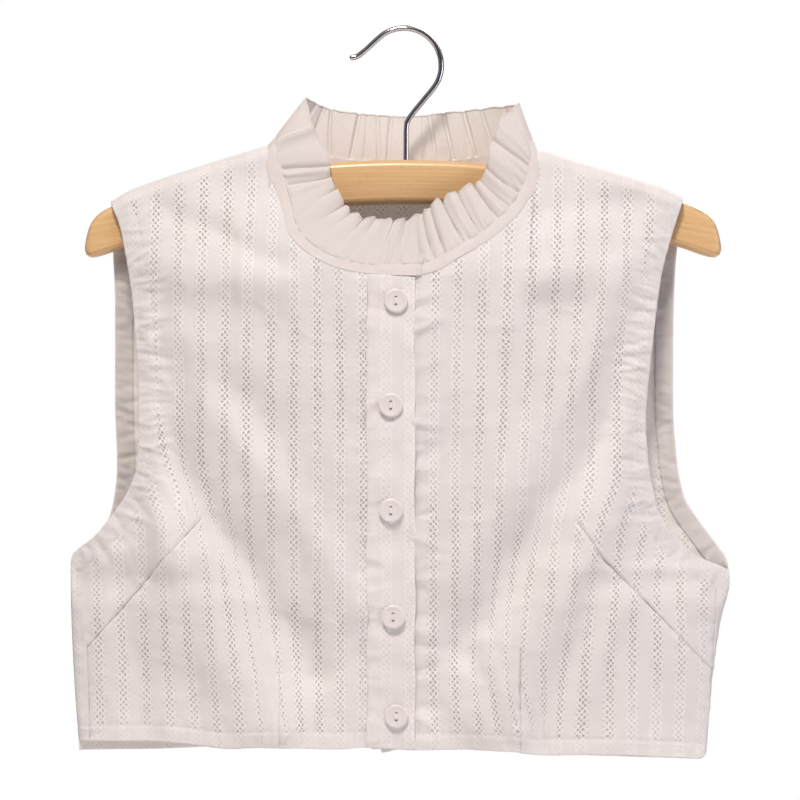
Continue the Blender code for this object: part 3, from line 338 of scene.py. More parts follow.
# The ruffle's folds: the collar's row at the foot and at the free edge, half widths there in millimetres,
# how far the fold stands out (or in) there in millimetres, and how late it grows towards the edge.
RUFFLE_FOLDS = (
    (0.55, -0.05, 2.2, 4.8, 0.5, 2.6, 1.2), (1.00, 0.35, 1.2, 1.6, -1.2, -3.4, 1.2),
    (1.30, 0.72, 1.8, 4.2, 0.6, 2.6, 1.2), (1.62, 1.08, 1.1, 1.4, -1.6, -3.0, 0.8),
    (1.95, 1.50, 2.2, 6.0, 0.8, 3.0, 1.0), (2.40, 2.02, 1.1, 1.8, -1.8, -3.8, 0.8),
    (2.66, 2.36, 1.5, 3.4, 0.9, 2.2, 1.0), (2.92, 2.66, 1.0, 1.3, -1.7, -2.4, 0.6),
    (3.26, 3.05, 2.1, 6.4, 0.8, 3.2, 1.0), (3.62, 3.38, 1.1, 1.9, -1.8, -3.4, 0.7),
    (3.82, 3.50, 1.3, 1.8, 0.8, 1.4, 0.8), (4.10, 3.75, 1.0, 1.5, -1.6, -2.0, 0.6),
    (4.40, 4.02, 2.0, 3.2, 0.8, 2.8, 0.8), (4.70, 4.32, 1.2, 1.9, -1.6, -3.0, 0.8),
    (5.20, 4.85, 3.0, 6.0, 0.8, 2.6, 0.8), (5.72, 5.38, 1.2, 2.0, -1.4, -3.0, 0.8),
    (6.15, 5.92, 2.0, 3.8, 0.8, 2.2, 0.8), (6.62, 6.45, 1.2, 1.8, -1.2, -1.6, 0.8),
    (7.30, 7.10, 2.4, 5.0, 0.6, 1.4, 0.8), (8.05, 7.95, 1.1, 1.5, 1.2, 1.2, 0.8),
    (8.55, 8.66, 1.0, 1.2, 1.5, 1.8, 0.8), (9.03, 9.20, 1.0, 1.3, 1.9, 2.8, 0.8),
    (9.62, 9.83, 1.0, 1.2, 1.9, 2.6, 0.8), (10.08, 10.26, 0.9, 1.1, 1.7, 2.2, 0.8),
    (10.44, 10.42, 0.9, 1.0, 1.6, 0.8, 0.8), (10.96, 10.94, 0.9, 1.0, 1.4, 1.0, 0.8),
    (11.44, 11.35, 1.0, 1.2, 1.8, 2.4, 0.8), (11.66, 11.72, 0.9, 1.0, 1.6, 1.4, 0.8),
    (12.05, 12.00, 0.9, 1.0, 1.4, 0.6, 0.8), (12.42, 12.26, 1.0, 1.3, 2.0, 3.2, 0.8),
    (12.90, 13.34, 1.0, 1.3, 1.8, 2.6, 0.8), (13.50, 13.80, 1.0, 1.2, 1.3, 1.2, 0.8),
    (14.10, 14.22, 1.0, 1.3, 1.0, 1.0, 0.8), (14.95, 15.25, 2.4, 5.5, 0.4, 1.6, 0.8),
    (15.42, 16.02, 1.5, 1.8, 1.0, 1.7, 0.6),  # the tuck by the right shoulder
    (15.72, 16.45, 2.2, 4.0, -0.6, -1.2, 0.8), (16.48, 17.42, 1.3, 1.8, -2.2, -2.8, 0.6),
    (16.85, 17.66, 1.5, 2.0, 1.6, 2.4, 0.6), (17.26, 17.90, 1.2, 1.6, -1.2, -2.0, 1.6),
    (17.60, 18.00, 1.8, 2.4, 0.5, 1.4, 2.4), (18.10, 18.22, 3.0, 3.6, 0.1, 1.8, 2.6),
    (18.42, 18.46, 2.2, 1.3, 0.0, -2.6, 5.0), (18.80, 18.84, 5.0, 5.4, 0.2, 2.2, 2.6),
    (19.22, 19.24, 2.0, 1.2, 0.0, -3.0, 5.5), (19.52, 19.54, 4.0, 3.4, 0.2, 2.0, 3.0),
    (19.78, 19.80, 2.0, 1.0, 0.0, -1.8, 6.0), (20.14, 20.16, 5.0, 5.8, 0.2, 2.4, 2.6),
    (20.50, 20.50, 2.0, 1.1, 0.0, -2.8, 5.0), (20.72, 20.74, 4.6, 3.2, 0.2, 1.8, 3.0),
    (20.96, 20.98, 2.0, 1.1, -0.1, -2.4, 5.0), (21.36, 21.40, 4.0, 5.6, 0.4, 2.4, 2.2),
    (21.80, 21.84, 1.8, 1.3, -0.2, -2.8, 3.6), (22.10, 22.16, 2.8, 3.6, 0.4, 2.0, 2.0),
    (22.36, 22.42, 1.5, 1.1, -0.3, -2.2, 3.0), (22.66, 22.74, 2.2, 3.6, 0.4, 2.0, 1.8),
    (22.90, 22.96, 1.1, 1.0, -0.3, -1.2, 1.4),
)
COLLAR_LENGTH = 0.460  # of the neck seam
RUFFLE_HEIGHT = 0.036
GATHER_PITCH = 0.0040  # of the small gathers along the ruffle's foot
GATHER_RISE = (  # the collar's row, and how far those gathers stand out: hardly where it is pulled flat
    (0.0, 0.0010), (6.0, 0.0008), (8.0, 0.0007), (14.0, 0.0006), (16.0, 0.0002), (20.0, 0.0002),
    (21.5, 0.0006), (23.0, 0.0010),
)
FOOT_FLUSH = 0.00030  # on the right the ruffle's foot lies level with the band
SCALLOP = ((0, 0.0013), (6, 0.0010), (8, 0.0003), (14.5, 0.0003), (17, 0.0010), (23, 0.0014))
EDGE_ROLL = 0.00065  # radius of the ruffle's narrow rolled hem

# The lace stripes' middles, in millimetres across, at heights down the cloth: one row for each height.
STRIPE_PITCH = 0.0148
STRIPES = {
    "front_left": (
        (-100, (20.8, 34.7, 50.4, 66.8, 81.9, 96.7, 110.9, 126.0, 140.8, 155.6, 170.4, 185.2, 200.0)),
        (-144, (20.2, 34.0, 49.5, 64.9, 80.6, 95.1, 109.9, 124.7, 138.9, 152.5, 167.3, 182.1, 196.9)),
        (-188, (19.2, 32.8, 48.2, 63.5, 78.4, 93.2, 107.7, 121.6, 136.4, 148.7, 163.5, 178.3, 193.1)),
        (-232, (18.6, 32.4, 47.6, 62.1, 76.5, 90.1, 103.9, 117.2, 133.2, 146.2, 161.0, 175.8, 190.6)),
        (-277, (18.3, 31.5, 46.0, 59.9, 74.0, 87.6, 101.4, 116.6, 133.6, 147.8, 162.0, 176.8, 191.6)),
        (-314, (18.3, 32.1, 45.4, 58.6, 72.5, 83.2, 94.5, 109.3, 121.0, 136.1, 150.3, 164.4, 179.2)),
        (-358, (18.3, 31.5, 44.7, 56.1, 65.5, 75.6, 91.4, 104.6, 116.2, 132.0, 144.0, 158.1, 173.0)),
        (-396, (17.9, 31.5, 44.7, 52.3, 64.9, 72.5, 86.9, 99.8, 113.1, 129.2, 142.4, 158.8, 173.9)),
        (-444, (19.5, 33.7, 47.3, 59.5, 72.5, 80.0, 88.0, 95.1, 110.3, 129.2, 141.8, 157.5, 172.3)),
    ),
    "front_right": (
        (-100, (-26.5, -41.6, -55.4, -69.3, -81.3, -95.4, -110.3, -125.4, -141.1, -155.3, -169.5, -184.0)),
        (-188, (-25.5, -40.3, -53.9, -68.0, -82.8, -98.3, -111.5, -126.6, -141.1, -156.9, -170.1, -185.0)),
        (-232, (-25.2, -39.7, -53.6, -68.7, -82.8, -98.6, -111.8, -127.0, -140.5, -156.6, -168.2, -182.0)),
        (-264, (-25.2, -39.7, -53.6, -68.7, -82.5, -98.6, -111.8, -127.0, -140.5, -149.3, -165.1, -180.2)),
        (-295, (-25.2, -39.7, -53.6, -68.7, -82.5, -97.7, -110.9, -122.2, -132.9, -138.6, -156.9, -172.0)),
        (-314, (-25.5, -39.7, -53.6, -68.7, -82.5, -97.0, -108.4, -117.2, -126.0, -138.6, -149.3, -165.7)),
        (-358, (-25.5, -39.7, -53.6, -68.4, -81.9, -93.2, -98.9, -110.3, -122.2, -136.7, -149.9, -163.2)),
        (-396, (-25.8, -39.7, -53.6, -67.4, -80.0, -87.6, -92.6, -105.8, -119.7, -133.6, -148.1, -161.9)),
        (-444, (-26.1, -39.7, -52.3, -63.6, -74.3, -80.6, -86.9, -101.4, -115.9, -129.8, -145.5, -160.7)),
    ),
}
PLACKET_STRIPE = -0.0110  # X of the one stripe that runs down the placket
PULL_SIZE = 2.4  # millimetres over which the lace's threads are pulled one way
LACE_COLUMN, LACE_ROW = 1.65, 1.90  # millimetres from hole to hole across the stripe and down it
SLUB_LONG, SLUB_WIDE = 16.0, 0.9  # millimetres: threads are 0.3 mm apart in real voile, too fine to show
TAKEN_IN = (1.35, 1.9)  # how much narrower a dart makes stripes where their holes fade out

# What shows of each cut piece: its width, length and area, how and where it is held, and what is sewn to it.
SHEETS = {
    "front_right": (0.215, 0.400, 0.0660, "hung", ["bar"], ["armhole_stitches_front_right"]),
    "front_left": (0.240, 0.400, 0.0755, "hung", ["bar"], ["armhole_stitches_front_left"]),
    "back": (
        0.425, 0.400, 0.1400, "hung", ["bar"],
        ["armhole_stitches_back_right", "armhole_stitches_back_left"],
    ),
    "placket": (0.029, 0.296, None, "folded", ["front_right"], ["placket_stitches"]),
    "facing_front_right": (0.0115, 0.262, None, "folded", ["front_right"], []),
    "facing_front_left": (0.0115, 0.262, None, "folded", ["front_left"], []),
    "facing_back_right": (0.0115, 0.240, None, "folded", ["back"], []),
    "facing_back_left": (0.0115, 0.240, None, "folded", ["back"], []),
    "neckband": (0.460, 0.010, 0.0034, "folded", ["front_right", "front_left", "back"], []),
    "ruffle": (0.620, 0.038, 0.0205, "gathered", ["neckband"], ["ruffle_hem", "ruffle_join"]),
}


# ---------------------------------------------------------------- curves
def follow(table, s):
    """Reads a smooth curve through a table's (stop, value) rows at s. It never overshoots a row."""
    stops, values = np.array(sorted(row[:2] for row in table), dtype=float).T
    gaps = np.diff(stops)
    slopes = np.diff(values) / gaps
    inner = (slopes[1:] + slopes[:-1]) / 2
    limit = 3 * np.minimum(abs(slopes[1:]), abs(slopes[:-1]))
    inner = np.clip(inner, -limit, limit) * (slopes[1:] * slopes[:-1] > 0)
    tangents = np.concatenate([slopes[:1], inner, slopes[-1:]])
    s = np.clip(np.asarray(s, dtype=float), stops[0], stops[-1])
    i = np.clip(np.searchsorted(stops, s, side="right") - 1, 0, len(gaps) - 1)
    t, g = (s - stops[i]) / gaps[i], gaps[i]
    return (
        values[i] * (1 + 2 * t) * (1 - t) ** 2
        + values[i + 1] * t**2 * (3 - 2 * t)
        + g * tangents[i] * t * (1 - t) ** 2
        - g * tangents[i + 1] * t**2 * (1 - t)
    )


def through(stops, points, s):
    """A smooth curve through points that lie at stops, read at s."""
    return np.stack([follow(list(zip(stops, column)), s) for column in np.asarray(points).T], axis=-1)


def distances(points):
    """How far along a line of points each of them lies."""
    return np.concatenate([[0.0], np.cumsum(np.linalg.norm(np.diff(points, axis=0), axis=1))])


def travel(points, share):
    """The place a share of the way along a smooth curve through points."""
    way = distances(points)
    return through(way / way[-1], points, share)


def heading(curve, share, small):
    """The way that a curve runs at a share, from just behind it to just ahead."""
    return curve(np.clip(share + small, 0, 1)) - curve(np.clip(share - small, 0, 1))


def unit(vectors):
    return vectors / np.linalg.norm(vectors, axis=-1, keepdims=True)


def step(low, high, s):
    """0 below low, 1 above high, and smooth between."""
    t = np.clip((s - low) / (high - low), 0, 1)
    return t * t * (3 - 2 * t)


def stretches(*parts):
    """Stops from 0 to 1: each part gives where it ends and in how many steps."""
    stops, start = [0.0], 0.0
    for end, count in parts:
        stops += np.linspace(start, end, count + 1)[1:].tolist()
        start = end
    return stops


def unevenness(x, z, size, seed):
    """Soft humps and hollows of about a size, between about -1 and 1."""
    chance = np.random.default_rng(seed)
    total = np.zeros_like(x)
    for _ in range(9):
        turn, stretch, start = chance.uniform(0, math.pi), chance.uniform(0.6, 1.6), chance.uniform(0, 6.3)
        total += np.sin(2 * math.pi / size * stretch * (x * math.cos(turn) + z * math.sin(turn)) + start)
    return total / 3.2


def creases(x, z, size, seed):
    """A net of faint rounded ridges, as washed cotton has, between about 0 and 1."""
    bent_x = x + 0.3 * size * unevenness(x, z, 2.5 * size, seed + 1)
    return (1 - np.clip(abs(unevenness(bent_x, z, size, seed)), 0, 1)) ** 3


# ---------------------------------------------------------------- the cloth's depth
def shoulder_height(x):
    """Z of the shoulder seams over x."""
    return follow([*SHOULDER["right"], *SHOULDER["left"]], x)


def by_fold(row, x, z):
    """How far a place lies past the ends of a fold or dart and aside of it, and its height there."""
    (x1, z1, x2, z2), (start, end) = row[:4], row[-2:]
    length = math.hypot(x2 - x1, z2 - z1)
    run_x, run_z = (x2 - x1) / length, (z2 - z1) / length
    forward = ((x - x1) * run_x + (z - z1) * run_z) / length
    beyond = np.maximum(np.maximum(-forward, forward - 1), 0) * length
    aside = (x - x1) * run_z - (z - z1) * run_x
    return beyond, aside, start + (end - start) * np.clip(forward, 0, 1)


def sharp_ridge(aside, half_width):
    """A ridge that rises steeply to a narrow rounded crest."""
    rounding = CRISPNESS * half_width
    return np.exp(-(np.sqrt(aside**2 + rounding**2) - rounding) / half_width)


def fold_height(face, x, z):
    """How far the darts and folds move the cloth out at a place."""
    x, z = x / MM, z / MM
    wander = 1.6 * unevenness(x, z, 70, 5 if face == "front" else 6)
    height = np.zeros_like(x)
    for row in SOFT_FOLDS[face]:
        beyond, aside, rise = by_fold(row, x, z)
        height += rise * np.exp(-((aside + wander) ** 2 + beyond**2) / row[4] ** 2)
    for row in CRISP_FOLDS[face]:
        beyond, aside, rise = by_fold(row, x, z)
        height += rise * sharp_ridge(aside, row[4]) * np.exp(-(beyond**2) / (2 * row[4]) ** 2)
    for row in SEWN_LINES[face]:
        beyond, aside, rise = by_fold(row, x, z)
        x1, z1, x2, z2 = row[:4]
        fade = np.exp(-((beyond / 4) ** 2))
        height += rise * fade * (1.3 * sharp_ridge(aside, SEWN_HALF) + 0.35 * np.exp(-((aside / 5) ** 2)))
        over = np.maximum(aside * np.sign((x2 - x1) * (z2 - z1)) * np.sign(-x1), 0)
        height -= 0.75 * rise * fade * np.exp(-over / 7) * step(0, 0.9, over)  # fuller above a bust dart
    return height * MM


def depth(face, x, z):
    """Distance of the cloth's middle from the seams' plane, on the front or the back."""
    half_width = np.where(x < 0, -follow(EDGE[face]["right"], z), follow(EDGE[face]["left"], z))
    out = np.clip(abs(x) / half_width, 0, 1)
    lens = (1 - out**LENS_POWER) ** follow(LENS_ROUND, z)
    edge, centre = follow(DEPTH_EDGE[face], z), follow(DEPTH_CENTRE[face], z)
    below = np.clip((shoulder_height(x) - z) / SHOULDER_ROUND, 0, 1)
    over_shoulder = np.sqrt(1 - (1 - below) ** 2)
    by_armhole = step(QUIET_BELOW, QUIET_ABOVE, z)
    quiet_edge = over_shoulder * (by_armhole * step(*QUIET_LENS, lens) + (1 - by_armhole) * np.sqrt(lens))
    full = over_shoulder * (edge + (centre - edge) * lens)
    return SEAM_HALF + full + quiet_edge * fold_height(face, x, z)


def surface(face, x, z, out=0.0):
    """Points of the cloth's middle, moved out by a distance along its normal."""
    turn = -1 if face == "front" else 1

    def at(px, pz):
        return np.stack([px, turn * depth(face, px, pz), pz], axis=-1)

    small = 0.0004
    normal = np.cross(at(x + small, z) - at(x - small, z), at(x, z + small) - at(x, z - small))
    normal = unit(normal * turn * np.sign(normal[..., 1:2]))
    return at(x, z) + normal * np.asarray(out)[..., None]


# ---------------------------------------------------------------- flat outlines
COLLAR_ROWS = np.arange(len(COLLAR))
NECK_SPOTS, EDGE_SPOTS = np.array(COLLAR)[:, :2], np.array(COLLAR)[:, 2:]
COLLAR_WAY = distances(NECK_SPOTS) / distances(NECK_SPOTS)[-1]  # the share of the way round at each row


def share_at(row):
    return np.interp(row, COLLAR_ROWS, COLLAR_WAY)


def row_at(share):
    return np.interp(share, COLLAR_WAY, COLLAR_ROWS)


def neck_seam(share):
    """X and Z of the neck seam at shares of the way round it."""
    return through(COLLAR_WAY, NECK_SPOTS, share)


def collar_edge(share):
    """X, Y and Z of the ruffle's free edge at shares of the way round the collar."""
    return through(COLLAR_WAY, EDGE_SPOTS, share)


def neck_edge(first_row, last_row, along):
    """X and Z of a panel's cut edge at the neck, at shares of the way between two of the collar's rows."""
    first, last = share_at(first_row), share_at(last_row)
    share = first + (last - first) * np.clip(along, 0, 1)
    run = heading(neck_seam, share, 0.004)
    out = unit(np.stack([run[..., 1], -run[..., 0]], axis=-1))
    away = neck_seam(share) - collar_edge(share)[..., ::2]
    return neck_seam(share) + NECK_CLEAR * out * np.sign((out * away).sum(-1, keepdims=True))


def shoulder_seam(side, along):
    """X and Z at shares of the way from the neck out to the shoulder's tip."""
    x = travel(SHOULDER[side], np.clip(along, 0, 1))[..., 0]
    return np.stack([x, shoulder_height(x)], axis=-1)


def indent(flat, face, side, corner, weight, v):
    """Bends strings that run from the top edge to the hem sideways, by the armhole's shape times weight."""
    tip = SHOULDER[side][-1]
    edge_z = tip[1] + (corner[1] - tip[1]) * v
    straight_x = tip[0] + (corner[0] - tip[0]) * v
    flat[..., 0] += weight * (follow(EDGE[face][side], edge_z) - straight_x)


def front_flat(side, u, v):
    """X and Z on a front: u runs from the centre front to the armhole, and v from the neck to the hem."""
    rows = (COLLAR_PLACKET, COLLAR_RIGHT) if side == "right" else (0, COLLAR_LEFT)
    neck = neck_edge(*rows, (u - NECK_FROM[side]) / (NECK_TO - NECK_FROM[side]))
    if side == "left":
        neck[..., 0] -= (COLLAR[0][0] - UNDERLAP) * np.clip(1 - u / NECK_FROM[side], 0, 1)
    top = np.where((u < NECK_TO)[..., None], neck, shoulder_seam(side, (u - NECK_TO) / (1 - NECK_TO)))
    hem = HEMS[f"front_{side}"]
    flat = top + (travel(hem, u) - top) * v[..., None]
    indent(flat, "front", side, hem[-1], u**INDENT_POWER, v)
    return flat


def back_flat(u, v):
    """X and Z on the back: u runs from the right armhole to the left one, and v from the neck to the hem."""
    low, high = BACK_NECK
    neck = neck_edge(COLLAR_RIGHT, COLLAR_LEFT, (u - low) / (high - low))
    left = np.where((u > high)[..., None], shoulder_seam("left", (u - high) / (1 - high)), neck)
    top = np.where((u < low)[..., None], shoulder_seam("right", 1 - u / low), left)
    right_corner, left_corner = HEMS["back"][0], HEMS["back"][-1]
    hem_x = follow([(0, right_corner[0]), (1, left_corner[0])], u)
    hem = np.stack([hem_x, hem_height("back", hem_x)], axis=-1)
    flat = top + (hem - top) * v[..., None]
    indent(flat, "back", "right", right_corner, np.clip(1 - 2 * u, 0, 1) ** INDENT_POWER, v)
    indent(flat, "back", "left", left_corner, np.clip(2 * u - 1, 0, 1) ** INDENT_POWER, v)
    return flat


def hem_height(panel, x):
    return follow(HEMS[panel], x)


def round_corner(spots):
    """Draws the hem's corner at the left side seam in to a round one."""
    corner = HEMS["front_left"][-1]
    a = np.clip((spots[:, 0] - corner[0]) / CORNER_ROUND + 1, 0, 1.2)
    b = np.clip((corner[1] - spots[:, 1]) / CORNER_ROUND + 1, 0, 1.2)
    spots[:, 0] -= CORNER_ROUND * a * (1 - np.sqrt(1 - b * b / 2)) * (a > 0)
    spots[:, 1] += CORNER_ROUND * b * (1 - np.sqrt(1 - a * a / 2)) * (b > 0)
    return spots


def collar_foot(share):
    """X, Y and Z of the neck seam at shares of the way round it."""
    stops = np.linspace(0, 1, 481)
    row = row_at(stops)
    front, back = (surface(face, *neck_seam(stops).T)[:, 1] for face in ("front", "back"))
    seam_y = np.where((row > COLLAR_LEFT) & (row < COLLAR_RIGHT), back, front)
    for _ in range(6):  # the band is stiffer than the panels, so it rounds their corners off
        seam_y[1:-1] = (seam_y[:-2] + 2 * seam_y[1:-1] + seam_y[2:]) / 4
    flat = neck_seam(share)
    return np.stack([flat[..., 0], np.interp(share, stops, seam_y), flat[..., 1]], axis=-1)


def collar_points(share, height, out=0.0, aside=0.0):
    """Points of the collar's wall: height in metres above the seam, moved out and along by distances."""
    seam = collar_foot(share)
    along = unit(heading(collar_foot, share, 0.002))
    rise = unit(collar_edge(share) - seam)
    outward = unit(np.cross(along, rise))
    height, out, aside = (np.broadcast_to(value, share.shape)[..., None] for value in (height, out, aside))
    return seam + rise * height + outward * out + along * aside


def pulled_flat(row):
    """1 where the collar is pulled flat on the right, and 0 elsewhere."""
    return step(*FLAT_ROWS[:2], row) * (1 - step(*FLAT_ROWS[2:], row))


# ---------------------------------------------------------------- stitched lines
def inset(face, side, z, inward):
    """X and Z of the places a distance in from an armhole's edge, square to it, at heights on it."""
    edge, small = EDGE[face][side], 0.0005
    slope = (follow(edge, z + small) - follow(edge, z - small)) / (2 * small)
    bend = 1 / np.sqrt(1 + slope**2)
    turn = 1 if side == "right" else -1
    return follow(edge, z) + turn * inward * bend, z - turn * inward * bend * slope


def armhole_line(face, side, inward, low=FACING_FOOT):
    """X and Z of a line beside the armhole's edge, a distance in from it, from the shoulder down."""
    z = np.linspace(EDGE[face][side][0][0] - 0.001, low, 260)
    return np.stack(inset(face, side, z, inward), axis=-1)


def hem_line(panel, start, end, count):
    """X and Z of a line along the top of a panel's turned-up hem."""
    across = np.linspace(start, end, count)
    return np.stack([across, hem_height(panel, across) + HEM], axis=-1)


def upright_line(x, short=0.0, count=200):
    """X and Z of a line down beside the placket, short of its ends by a distance."""
    down = np.linspace(PLACKET_TOP[0][1] - short, PLACKET_FOOT[0][1] + short, count)
    return np.stack([np.full_like(down, x), down], axis=-1)


def from_side_seam(face, side, x, z):
    """How far in from a side seam a place lies, below the armhole. All others count as far from it."""
    beside_it = (z < FACING_FOOT) & ((x < 0) == (side == "right"))
    return np.where(beside_it, abs(follow(EDGE[face][side], z)) - abs(x), 1.0)


def beside(line, x, z):
    """Distance from a line of X and Z to each place, how far along it that is, and on which side."""
    run = unit(np.gradient(line, axis=0))
    gap = (x[:, None] - line[None, :, 0]) ** 2 + (z[:, None] - line[None, :, 1]) ** 2
    nearest = gap.argmin(axis=1)
    across = (x - line[nearest, 0]) * run[nearest, 1] - (z - line[nearest, 1]) * run[nearest, 0]
    return np.sqrt(gap[np.arange(len(x)), nearest]), distances(line)[nearest], across


def puckers(line, x, z, pitch, reach, rise, seed):
    """Small ridges that thread pulls up across a line of stitches, uneven in place, length and height."""
    low, high = line.min(axis=0) - 3 * reach, line.max(axis=0) + 3 * reach
    near = (x > low[0]) & (x < high[0]) & (z > low[1]) & (z < high[1])
    away, along, across = beside(line, x[near], z[near])
    chance = np.random.default_rng(seed)
    height = np.zeros_like(along)
    place = 0.0
    while place < along.max(initial=0):
        place += pitch * chance.uniform(0.55, 1.6)
        lean, own_reach = chance.uniform(-0.45, 0.45), reach * chance.uniform(0.5, 1.3)
        own_rise = rise * chance.choice([1.6, 1.2, 0.8, -1.2]) * chance.uniform(0.6, 1.2)
        half_width = pitch * chance.uniform(0.22, 0.36)
        height += own_rise * np.exp(
            -(((along - place + lean * across) / half_width) ** 2) - (across / own_reach) ** 2
        )
    total = np.zeros_like(x)
    total[near] = height * (away < 3 * reach)
    return total


# ---------------------------------------------------------------- making pieces
def grid(columns, rows):
    """A flat grid of cloth, and each vertex's share across and down."""
    bm = bmesh.new()
    bmesh.ops.create_grid(bm, x_segments=len(columns) - 1, y_segments=len(rows) - 1, size=0.5)
    spots = np.array([vert.co[:2] for vert in bm.verts]) + 0.5
    across = np.interp(spots[:, 0] * (len(columns) - 1), range(len(columns)), columns)
    down = np.interp(spots[:, 1] * (len(rows) - 1), range(len(rows)), rows)
    return bm, across, down


def move_points(bm, points):
    for vert, point in zip(bm.verts, points):
        vert.co = point


def place_in_scene(name, data):
    """Adds an object of a mesh, lamp or camera. A bmesh is made into a mesh first."""
    if isinstance(data, bmesh.types.BMesh):
        mesh = bpy.data.meshes.new(name)
        data.to_mesh(mesh)
        data.free()
        data = mesh
    item = bpy.data.objects.new(name, data)
    bpy.context.collection.objects.link(item)
    return item


def piece(name, bm, finish):
    """Makes a smooth object of a bmesh, riding on the one body. A finish is a material."""
    bmesh.ops.recalc_face_normals(bm, faces=bm.faces)
    item = place_in_scene(name, bm)
    item.data.materials.append(finish[0])
    item.data.shade_smooth()
    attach(item, "root")
    return item


def cloth_piece(name, bm, points, across, along, wall, finish, lined=1.0, sewn=0.0):
    """A piece of cloth with a thin wall. across and along lay its weave out, lined says how doubled it is,
    and sewn how near a place is to the closed slit of a seam, which the material darkens as painted shade."""
    move_points(bm, points)
    item = piece(name, bm, finish)
    mesh = item.data
    corners = np.empty(len(mesh.loops), dtype=np.int32)
    mesh.loops.foreach_get("vertex_index", corners)
    for layer, columns in (("weave", (across, along)), ("doubled", (lined, sewn))):
        spots = np.stack([column + np.zeros_like(across) for column in columns], axis=-1)[corners]
        mesh.uv_layers.new(name=layer).uv.foreach_set("vector", spots.astype(np.float32).ravel())
    wrap = item.modifiers.new("cloth thickness", "SOLIDIFY")
    wrap.thickness, wrap.offset, wrap.use_rim = wall, 0, True
    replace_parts(item, name)


def stripe_number(panel, x, z):
    """How many lace stripes a place is from the centre front, whole numbers at the stripes' middles."""
    if panel not in STRIPES:
        return x / STRIPE_PITCH
    heights = [row[0] * MM for row in STRIPES[panel]]
    places = through(heights, np.array([row[1] for row in STRIPES[panel]]) * MM, z).T
    turn = 1 if panel == "front_left" else -1
    number = np.zeros_like(x)
    for i in range(len(places) - 1):
        share = (x - places[i]) / (places[i + 1] - places[i])
        inside = (share >= 0) & (share < 1)
        number[inside] = (i + share)[inside]
    past_first, past_last = turn * (x - places[0]), turn * (x - places[-1])
    number = np.where(past_first < 0, past_first / STRIPE_PITCH, number)
    return np.where(past_last >= 0, len(places) - 1 + past_last / STRIPE_PITCH, number)


def cloth_length(x, z):
    """How far down the cloth a place is, measured along it where it bends over the shoulder."""
    below = np.clip((shoulder_height(x) - z) / SHOULDER_ROUND, 0, 1)
    return -z + 0.011 * (np.arccos(1 - below) - math.pi / 2) + SHOULDER_ROUND * (1 - below)


def own_darts(panel):
    return [row for row in SEWN_LINES[PANELS[panel][0]] if (row[0] < 0) == (panel == "front_right")]


def panel_out(panel, x, z):
    """How far a panel's own creases and puckers move it out, fading towards the seams that it is sewn in."""
    face, sides, seed = PANELS[panel]
    relief = 0.00045 * creases(x, z, 0.060, seed) + 0.00016 * unevenness(x, z, 0.016, seed + 7)
    relief += 0.0009 * unevenness(x, 0.7 * z, 0.050, seed + 3)
    for side in sides:
        for inward, *pull in ARMHOLE_PUCKERS[face]:
            relief += puckers(armhole_line(face, side, inward), x, z, *pull, seed + 11)
        down = np.linspace(FACING_FOOT, -0.450, 90)
        seam = np.stack([follow(EDGE[face][side], down), down], axis=-1)
        relief += puckers(seam, x, z, *SIDE_PUCKERS, seed + 13)
    hem = hem_line(panel, HEMS[panel][0][0], HEMS[panel][-1][0], 220)
    relief += puckers(hem, x, z, *HEM_PUCKERS, seed + 17)
    above_hem = z - hem_height(panel, x) - HEM
    relief -= HEM_GROOVE[0] * np.exp(-((above_hem / HEM_GROOVE[1]) ** 2))
    for side in sides:
        away, _, _ = beside(armhole_line(face, side, FACING_WIDTH), x, z)
        relief -= FACING_GROOVE[0] * np.exp(-((away / FACING_GROOVE[1]) ** 2))
        relief *= step(0, 0.004, from_side_seam(face, side, x, z))
    if panel in UPRIGHT_PUCKERS:
        line_x, *pull = UPRIGHT_PUCKERS[panel]
        relief += puckers(upright_line(line_x), x, z, *pull, seed + 19)
    for x1, z1, x2, z2, *_ in own_darts(panel):
        line = np.linspace((x1 * MM, z1 * MM), (x2 * MM, z2 * MM), 60)
        relief += puckers(line, x, z, *DART_PUCKERS, seed + 29)
    neck = neck_seam(np.linspace(0, 1, 300))
    from_neck, _, _ = beside(neck, x, z)
    relief += 0.8 * puckers(neck, x, z, *NECK_PUCKERS, seed + 23)
    return relief * step(0, 0.006, from_neck) * step(0, 0.005, shoulder_height(x) - z)


def placket_out(x, z):
    """The placket's own creases: small waves beside its sewn edge, and pulls between the buttons."""
    out = 0.0003 + 0.00012 * creases(x, z, 0.030, 43)
    out += puckers(upright_line(PLACKET_LEFT + 0.002), x, z, 0.0085, 0.0085, 0.00050, 45)
    out += puckers(upright_line(PLACKET_RIGHT - 0.001), x, z, 0.0130, 0.0060, 0.00030, 47)
    return out + 0.0005 * unevenness(x, z, 0.030, 49)


def panel_points(panel, x, z, lift=0.0):
    """Points of a panel's or the placket's cloth, moved out of its middle by lift."""
    if panel == "placket":
        return surface("front", x, z, placket_out(x, z) + lift)
    out = panel_out(panel, x, z) + lift
    if panel == "front_left":  # it sinks where it runs on behind the placket
        out = out - UNDERLAP_DEPTH * (1 - step(*UNDERLAP_STEP, x))
    return surface(PANELS[panel][0], x, z, out)


